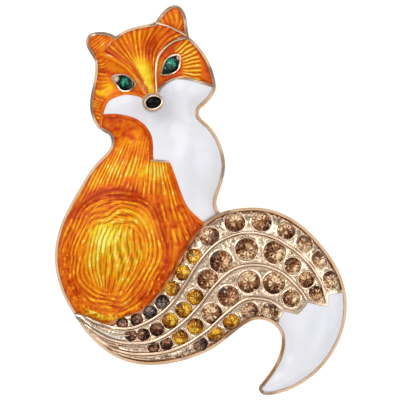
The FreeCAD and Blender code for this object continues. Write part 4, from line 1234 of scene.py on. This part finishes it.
@dataclass
class Nose:
    """The nose: an oval drop of black enamel in a collar of round wire.

    The oval's middle and halves are in pixels of the photograph's frame, its turn in degrees, and the wire of
    the collar in millimetres.
    """

    middle: tuple[float, float] = (155.1, 104.7)
    half_wide: float = 7.6
    half_tall: float = 5.7
    turn: float = -10.0
    collar: float = 0.16
    sides: int = 48
    wire_sides: int = 12
    # The drop's rings from its foot to its crown: share of the oval, and height above the setting.
    rings: tuple[tuple[float, float], ...] = (
        (1.0, -0.4), (1.0, 0.0), (0.92, 0.16), (0.75, 0.3), (0.5, 0.4), (0.25, 0.45))
    crown: float = 0.46

    def build(self) -> None:
        """Builds the drop and its collar, level round the top of the CAD setting."""
        corners, _ = node_arrays("enamel_nose")
        base = float(np.percentile(corners[:, 2], 60))
        middle = place([self.middle])[0]
        angle = np.linspace(0, 2 * np.pi, self.sides, endpoint=False)
        lean = math.radians(self.turn)
        east = PIXEL * self.half_wide * np.cos(angle)
        north = PIXEL * self.half_tall * np.sin(angle)
        oval = np.column_stack([east * math.cos(lean) + north * math.sin(lean),
                                north * math.cos(lean) - east * math.sin(lean)])
        self.drop(middle, base, oval)
        self.wire(middle, base, oval, angle)

    def drop(self, middle: np.ndarray, base: float, oval: np.ndarray) -> None:
        """Builds the enamel drop.

        Args:
            middle: the nose's middle in the plan.
            base: the setting's height.
            oval: the outline from the middle, one row for each side.
        """
        points = [np.column_stack([middle + share * oval, np.full(len(oval), base + rise)])
                  for share, rise in self.rings]
        points += [[[*middle, base + self.crown]], [[*middle, base + self.rings[0][1]]]]
        number = np.arange(len(self.rings) * len(oval)).reshape(len(self.rings), -1)
        after = np.roll(number, -1, axis=1)
        faces = np.stack([number[:-1], after[:-1], after[1:], number[1:]], axis=-1).reshape(-1, 4).tolist()
        top, low = number.size, number.size + 1
        faces += [[number[-1, k], after[-1, k], top] for k in range(len(oval))]
        faces += [[after[0, k], number[0, k], low] for k in range(len(oval))]
        piece = put("nose_drop", np.concatenate(points), faces, BLACK_ENAMEL)
        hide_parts("enamel_nose")

    def wire(self, middle: np.ndarray, base: float, oval: np.ndarray, angle: np.ndarray) -> None:
        """Builds the collar: a ring of round wire, thicker at the low right.

        Args:
            middle: the nose's middle in the plan.
            base: the setting's height.
            oval: the outline from the middle, one row for each side.
            angle: the angle of each side.
        """
        thick = (self.collar * (1 + 0.35 * np.cos(angle + math.radians(50))))[:, None]
        turn = np.linspace(0, 2 * np.pi, self.wire_sides, endpoint=False)
        outward = oval / np.linalg.norm(oval, axis=1)[:, None]
        reach = thick * (0.75 + np.cos(turn))
        spot = middle + oval[:, None, :] + reach[:, :, None] * outward[:, None, :]
        z = base - 0.02 + thick * np.sin(turn)
        number = np.arange(z.size).reshape(z.shape)
        along, over = np.roll(number, -1, axis=0), np.roll(number, -1, axis=1)
        faces = np.stack([along, np.roll(along, -1, axis=1), over, number], axis=-1).reshape(-1, 4)
        corners = np.concatenate([spot, z[:, :, None]], axis=2).reshape(-1, 3)
        put("nose_collar", corners, faces, PLATE)


@dataclass
class Tail:
    """The jewelled tail's trim: the graved stone field, the beaded ribs and the grains between the stones."""

    relief: Relief
    rise: float = 0.3
    lift: float = 0.06
    step: float = 0.08
    border: float = 0.22
    stone_drop: float = 0.32
    thick: float = 0.2
    rib_half: float = 0.19
    rib_high: float = 0.17
    rib_lift: float = 0.02
    beside_rib: float = 0.36
    neighbours: float = 0.75
    big_grain: float = 0.2
    loose_grains: int = 2600
    gems: list[Gem] = field(init=False)

    def build(self) -> None:
        """Builds the field, the ribs and the grains."""
        self.gems = [gem_at(node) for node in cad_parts
                     if node.startswith("stone_") and "eye" not in node]
        self.field_sheet()
        self.ribs()
        self.grains()

    def to_stones(self, x: np.ndarray, y: np.ndarray) -> np.ndarray:
        """Distance from places to the nearest stone's edge, negative under a stone."""
        gaps = [np.hypot(x - gem.middle[0], y - gem.middle[1]) - gem.radius for gem in self.gems]
        return np.min(gaps, axis=0)

    def to_ribs(self, x: np.ndarray, y: np.ndarray) -> np.ndarray:
        """Distance from places to the middle of the nearest rib."""
        paths = [smooth_path(np.array(points), RIB_STEP) for points in RIBS.values()]
        return np.min([np.abs(inset_from(x, y, path[:-1], path[1:])) for path in paths], axis=0)

    def field_sheet(self) -> None:
        """The stone field: a sheet just over the casting, with a ring round each stone and graved hollows.

        It drops away under the stones, so that they show at their full size.
        """
        x, y, count = grid_over(self.relief.loop.min(axis=0), self.relief.loop.max(axis=0), self.step)
        keep = (self.relief.inset(x, y) > self.border) & (inset_in(x, y, TIP_ZONE) <= 0)
        used, faces = kept_cells(keep.reshape(count))
        x, y = x[used], y[used]
        near, to_rib = self.to_stones(x, y), self.to_ribs(x, y)
        ring = np.exp(-((near - 0.13) / 0.07) ** 2)
        rough = grain(x / 0.34, y / 0.34, 71) * 0.6 + grain(x / 0.16, y / 0.16, 72) * 0.4
        hollow = ease(0.2, 0.45, near) * ease(0.3, 0.6, to_rib)
        z = self.relief.top(x, y) - self.rise + self.lift + 0.09 * ring
        z += (0.12 * (rough - 0.4) - 0.03) * hollow
        z -= self.stone_drop * ease(0.05, -0.03, near)
        # Painted shade: darker in the deep graver marks away from the root, in a thin line round each stone's
        # edge and beside the ribs.
        painted_shade = 0.6 * hollow * ease(0.62, 0.3, rough) * ease(-13.0, -9.0, x)
        painted_shade += 0.85 * np.exp(-((near + 0.01) / 0.06) ** 2) + 0.6 * np.exp(-((to_rib - 0.24) / 0.07) ** 2)
        tint = blend(shade("#FAE0C2"), shade("#FFF2E0"), ease(-9.0, -12.0, x))
        tint = blend(tint, shade("#6C4426"), np.clip(painted_shade, 0, 1))
        piece = put("graved_stone_field", np.column_stack([x, y, z]), faces, FIELD_PLATE,
                    tint=tint)
        thicken(piece, self.thick)
        LOG.info("stone field: %d points", len(x))

    def ribs(self) -> None:
        """Beads over the three ribs, a finer bead beside each, and the ridges of the root."""
        floor = 0.1 - self.rise
        for name, points in RIBS.items():
            line = np.array(points)
            bead("rib_bead_" + name, self.relief, line, self.rib_half, self.rib_high, self.rib_lift)
            path = smooth_path(line, 0.8)
            along = headings(path)
            beside = path + self.beside_rib * np.column_stack([along[:, 1], -along[:, 0]])
            bead("rib_line_" + name, self.relief, beside[2:-2], 0.09, 0.16, floor + self.rib_lift)
        for name, points in ROOT_RIDGES.items():
            bead("root_ridge_" + name, self.relief, place(points), 0.13, 0.18, floor + 0.05)

    def between_stones(self) -> np.ndarray:
        """Two places between each two neighbouring stones, one on each side of the line that joins them."""
        spots = []
        for order, gem in enumerate(self.gems):
            for other in self.gems[order + 1:]:
                gap = (other.middle - gem.middle)[:2]
                apart = np.linalg.norm(gap)
                free = apart - gem.radius - other.radius
                if free > self.neighbours:
                    continue
                across = np.array([-gap[1], gap[0]]) / apart
                halfway = gem.middle[:2] + (gem.radius + 0.5 * free) / apart * gap
                off = 0.42 * min(gem.radius, other.radius) + 0.1
                spots += [halfway + side * off * across for side in (-1, 1)]
        return np.array(spots)

    def grains(self) -> None:
        """Beads of metal raised with a graver between the stones: small domes on the field."""
        between = self.between_stones()
        random = np.random.default_rng(7)
        loose = random.uniform([-11, -22], [18, -1.5], (self.loose_grains, 2))
        spots = np.concatenate([between, loose])
        sizes = np.append(np.full(len(between), self.big_grain), random.uniform(0.1, 0.16, len(loose)))
        x, y = spots.T
        keep = (self.relief.inset(x, y) > 0.62) & (inset_in(x, y, TIP_ZONE) <= 0)
        keep &= (self.to_ribs(x, y) > 0.45) & (self.to_stones(x, y) > sizes * 0.55)
        spots, sizes = spots[keep], sizes[keep]
        # A grain that crowds an earlier one is left out.
        apart = np.hypot(*(spots[:, None, k] - spots[None, :, k] for k in range(2)))
        order = np.arange(len(spots))
        crowd = (apart < 1.15 * (sizes[:, None] + sizes)) & (order[:, None] > order)
        keep = ~crowd.any(axis=1)
        spots, sizes = spots[keep], sizes[keep]
        # Each dome: rings round its top, with the share of the grain's radius and the height in radii.
        rings = np.array([(1.0, -0.45), (0.92, 0.35), (0.55, 0.8)])
        sides, crown = 8, 0.95
        angle = np.linspace(0, 2 * np.pi, sides, endpoint=False)
        circle = np.column_stack([np.cos(angle), np.sin(angle)])
        flat = np.concatenate([(rings[:, 0, None, None] * circle).reshape(-1, 2), np.zeros((1, 2))])
        rise = np.append(np.repeat(rings[:, 1], sides), crown)
        corners = np.empty((len(spots), len(flat), 3))
        corners[:, :, :2] = spots[:, None, :] + sizes[:, None, None] * flat
        ground = self.relief.top(spots[:, 0], spots[:, 1]) - self.rise + self.lift
        corners[:, :, 2] = ground[:, None] + sizes[:, None] * rise
        number = np.arange(len(rings) * sides).reshape(len(rings), sides)
        after = np.roll(number, -1, axis=1)
        dome = np.stack([number[:-1], after[:-1], after[1:], number[1:]], axis=-1).reshape(-1, 4).tolist()
        dome += [[number[-1, k], after[-1, k], number.size] for k in range(sides)]
        dome.append(number[0, ::-1])
        faces = [[len(flat) * n + int(corner) for corner in face] for n in range(len(spots)) for face in dome]
        put("graver_grains", corners.reshape(-1, 3), faces, PLATE)
        LOG.info("grains: %d", len(spots))


class Casting:
    """The plated casting and its finding, which keep their CAD shapes."""

    def build(self) -> None:
        """Plates both."""
        for node, finish in (("cast_body", PLATE), ("pin_clasp", PIN_PLATE)):
            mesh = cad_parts[node].data
            mesh.materials.clear()
            mesh.materials.append(finish.material())
        LOG.info("casting and finding plated")


@dataclass
class Studio:
    """A white table, broad soft lights and the photograph's viewpoint."""

    distance: float = 420.0
    lean_right: float = 1.0
    lean_low: float = 0.3
    middle: tuple[float, float, float] = (-0.08, -0.06, 2.6)
    zoom: float = 1.007

    def build(self) -> None:
        """Builds the floor, the lights, the world and the camera."""
        self.floor()
        self.lights()
        self.camera()
        LOG.info("studio built")

    def floor(self) -> None:
        """A wide plain white sheet, a hair below the brooch's back."""
        side, low = 600.0, -0.02
        corners = np.array([(-side, -side, low), (side, -side, low), (side, side, low), (-side, side, low)])
        mesh = bpy.data.meshes.new("table")
        mesh.from_pydata((corners * MM).tolist(), [], [[0, 1, 2, 3]])
        piece = bpy.data.objects.new("table", mesh)
        bpy.context.scene.collection.objects.link(piece)
        mesh.materials.append(TABLE_FILM.material())

    def lights(self) -> None:
        """Soft boxes round the brooch, and a pale world."""
        boxes = [
            # name, x, y, z, width, height, power in watts
            ("key_box", -240.0, 260.0, 400.0, 420.0, 420.0, 1.6),
            ("fill_box", 320.0, 60.0, 360.0, 360.0, 400.0, 0.75),
            ("low_box", -40.0, -360.0, 300.0, 420.0, 200.0, 0.5),
        ]
        for name, x, y, z, wide, tall, power in boxes:
            light = bpy.data.lights.new(name, "AREA")
            light.shape = "RECTANGLE"
            light.size, light.size_y = wide * MM, tall * MM
            light.energy = power
            lamp = bpy.data.objects.new(name, light)
            lamp.location = Vector((x, y, z)) * MM
            lamp.rotation_euler = (-lamp.location).to_track_quat("-Z", "Y").to_euler()
            bpy.context.scene.collection.objects.link(lamp)
        world = bpy.data.worlds.new("studio")
        bpy.context.scene.world = world
        world.use_nodes = True
        tree = world.node_tree
        glow = tree.nodes["Background"]
        glow.inputs["Strength"].default_value = 0.69
        # A tent of paper, from the horizon at 0 to the zenith at 1: a pale band low on its walls, a dark gap
        # above that, and a bright roof that is softer at its very top.
        where = add_node(tree, "ShaderNodeTexCoord")
        split = add_node(tree, "ShaderNodeSeparateXYZ", links={"Vector": where.outputs["Generated"]})
        ramp = add_node(tree, "ShaderNodeValToRGB", links={"Fac": split.outputs["Z"]})
        stops = ramp.color_ramp.elements
        for stop, level in ((stops[0], 0.22), (stops[1], 0.5)):
            stop.color = (level, level, level, 1)
        for position, level in ((0.2, 0.3), (0.35, 0.6), (0.55, 0.12), (0.72, 0.25), (0.84, 1.0), (0.95, 1.0),
                                (0.985, 0.5)):
            stops.new(position).color = (level, level, level, 1)
        tree.links.new(ramp.outputs["Color"], glow.inputs["Color"])
        bpy.context.scene.view_settings.view_transform = "Standard"

    def camera(self) -> None:
        """A long lens above the brooch, leaning a little to its right and low side."""
        lens = bpy.data.cameras.new("view")
        eye = bpy.data.objects.new("view", lens)
        bpy.context.scene.collection.objects.link(eye)
        right, low = math.radians(self.lean_right), math.radians(self.lean_low)
        middle = Vector(self.middle)
        back = Vector((math.sin(right), -math.sin(low), math.cos(right) * math.cos(low))).normalized()
        eye.location = (middle + back * self.distance) * MM
        side = Vector((0.0, 1.0, 0.0)).cross(back).normalized()
        eye.rotation_euler = Matrix((side, back.cross(side), back)).transposed().to_euler()
        lens.sensor_width = 36.0
        lens.lens = self.zoom * 36.0 * self.distance / FRAME_MM
        lens.clip_start, lens.clip_end = 0.01, 10.0
        bpy.context.scene.camera = eye


def main() -> None:
    """Builds the brooch's dress and the studio."""
    logging.basicConfig(level=logging.INFO, format="%(message)s")
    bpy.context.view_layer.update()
    body, tail = Relief(BODY_OUTLINE, BODY_FORM), Relief(TAIL_OUTLINE, TAIL_FORM)
    for part in (Casting(), Coat(), WhiteCoat(), FaceLines(body), Nose(), EyeShadeSheets(body), Tail(tail),
                 Stones(), Studio()):
        part.build()
    bpy.context.view_layer.update()


if __name__ == "__main__":
    main()
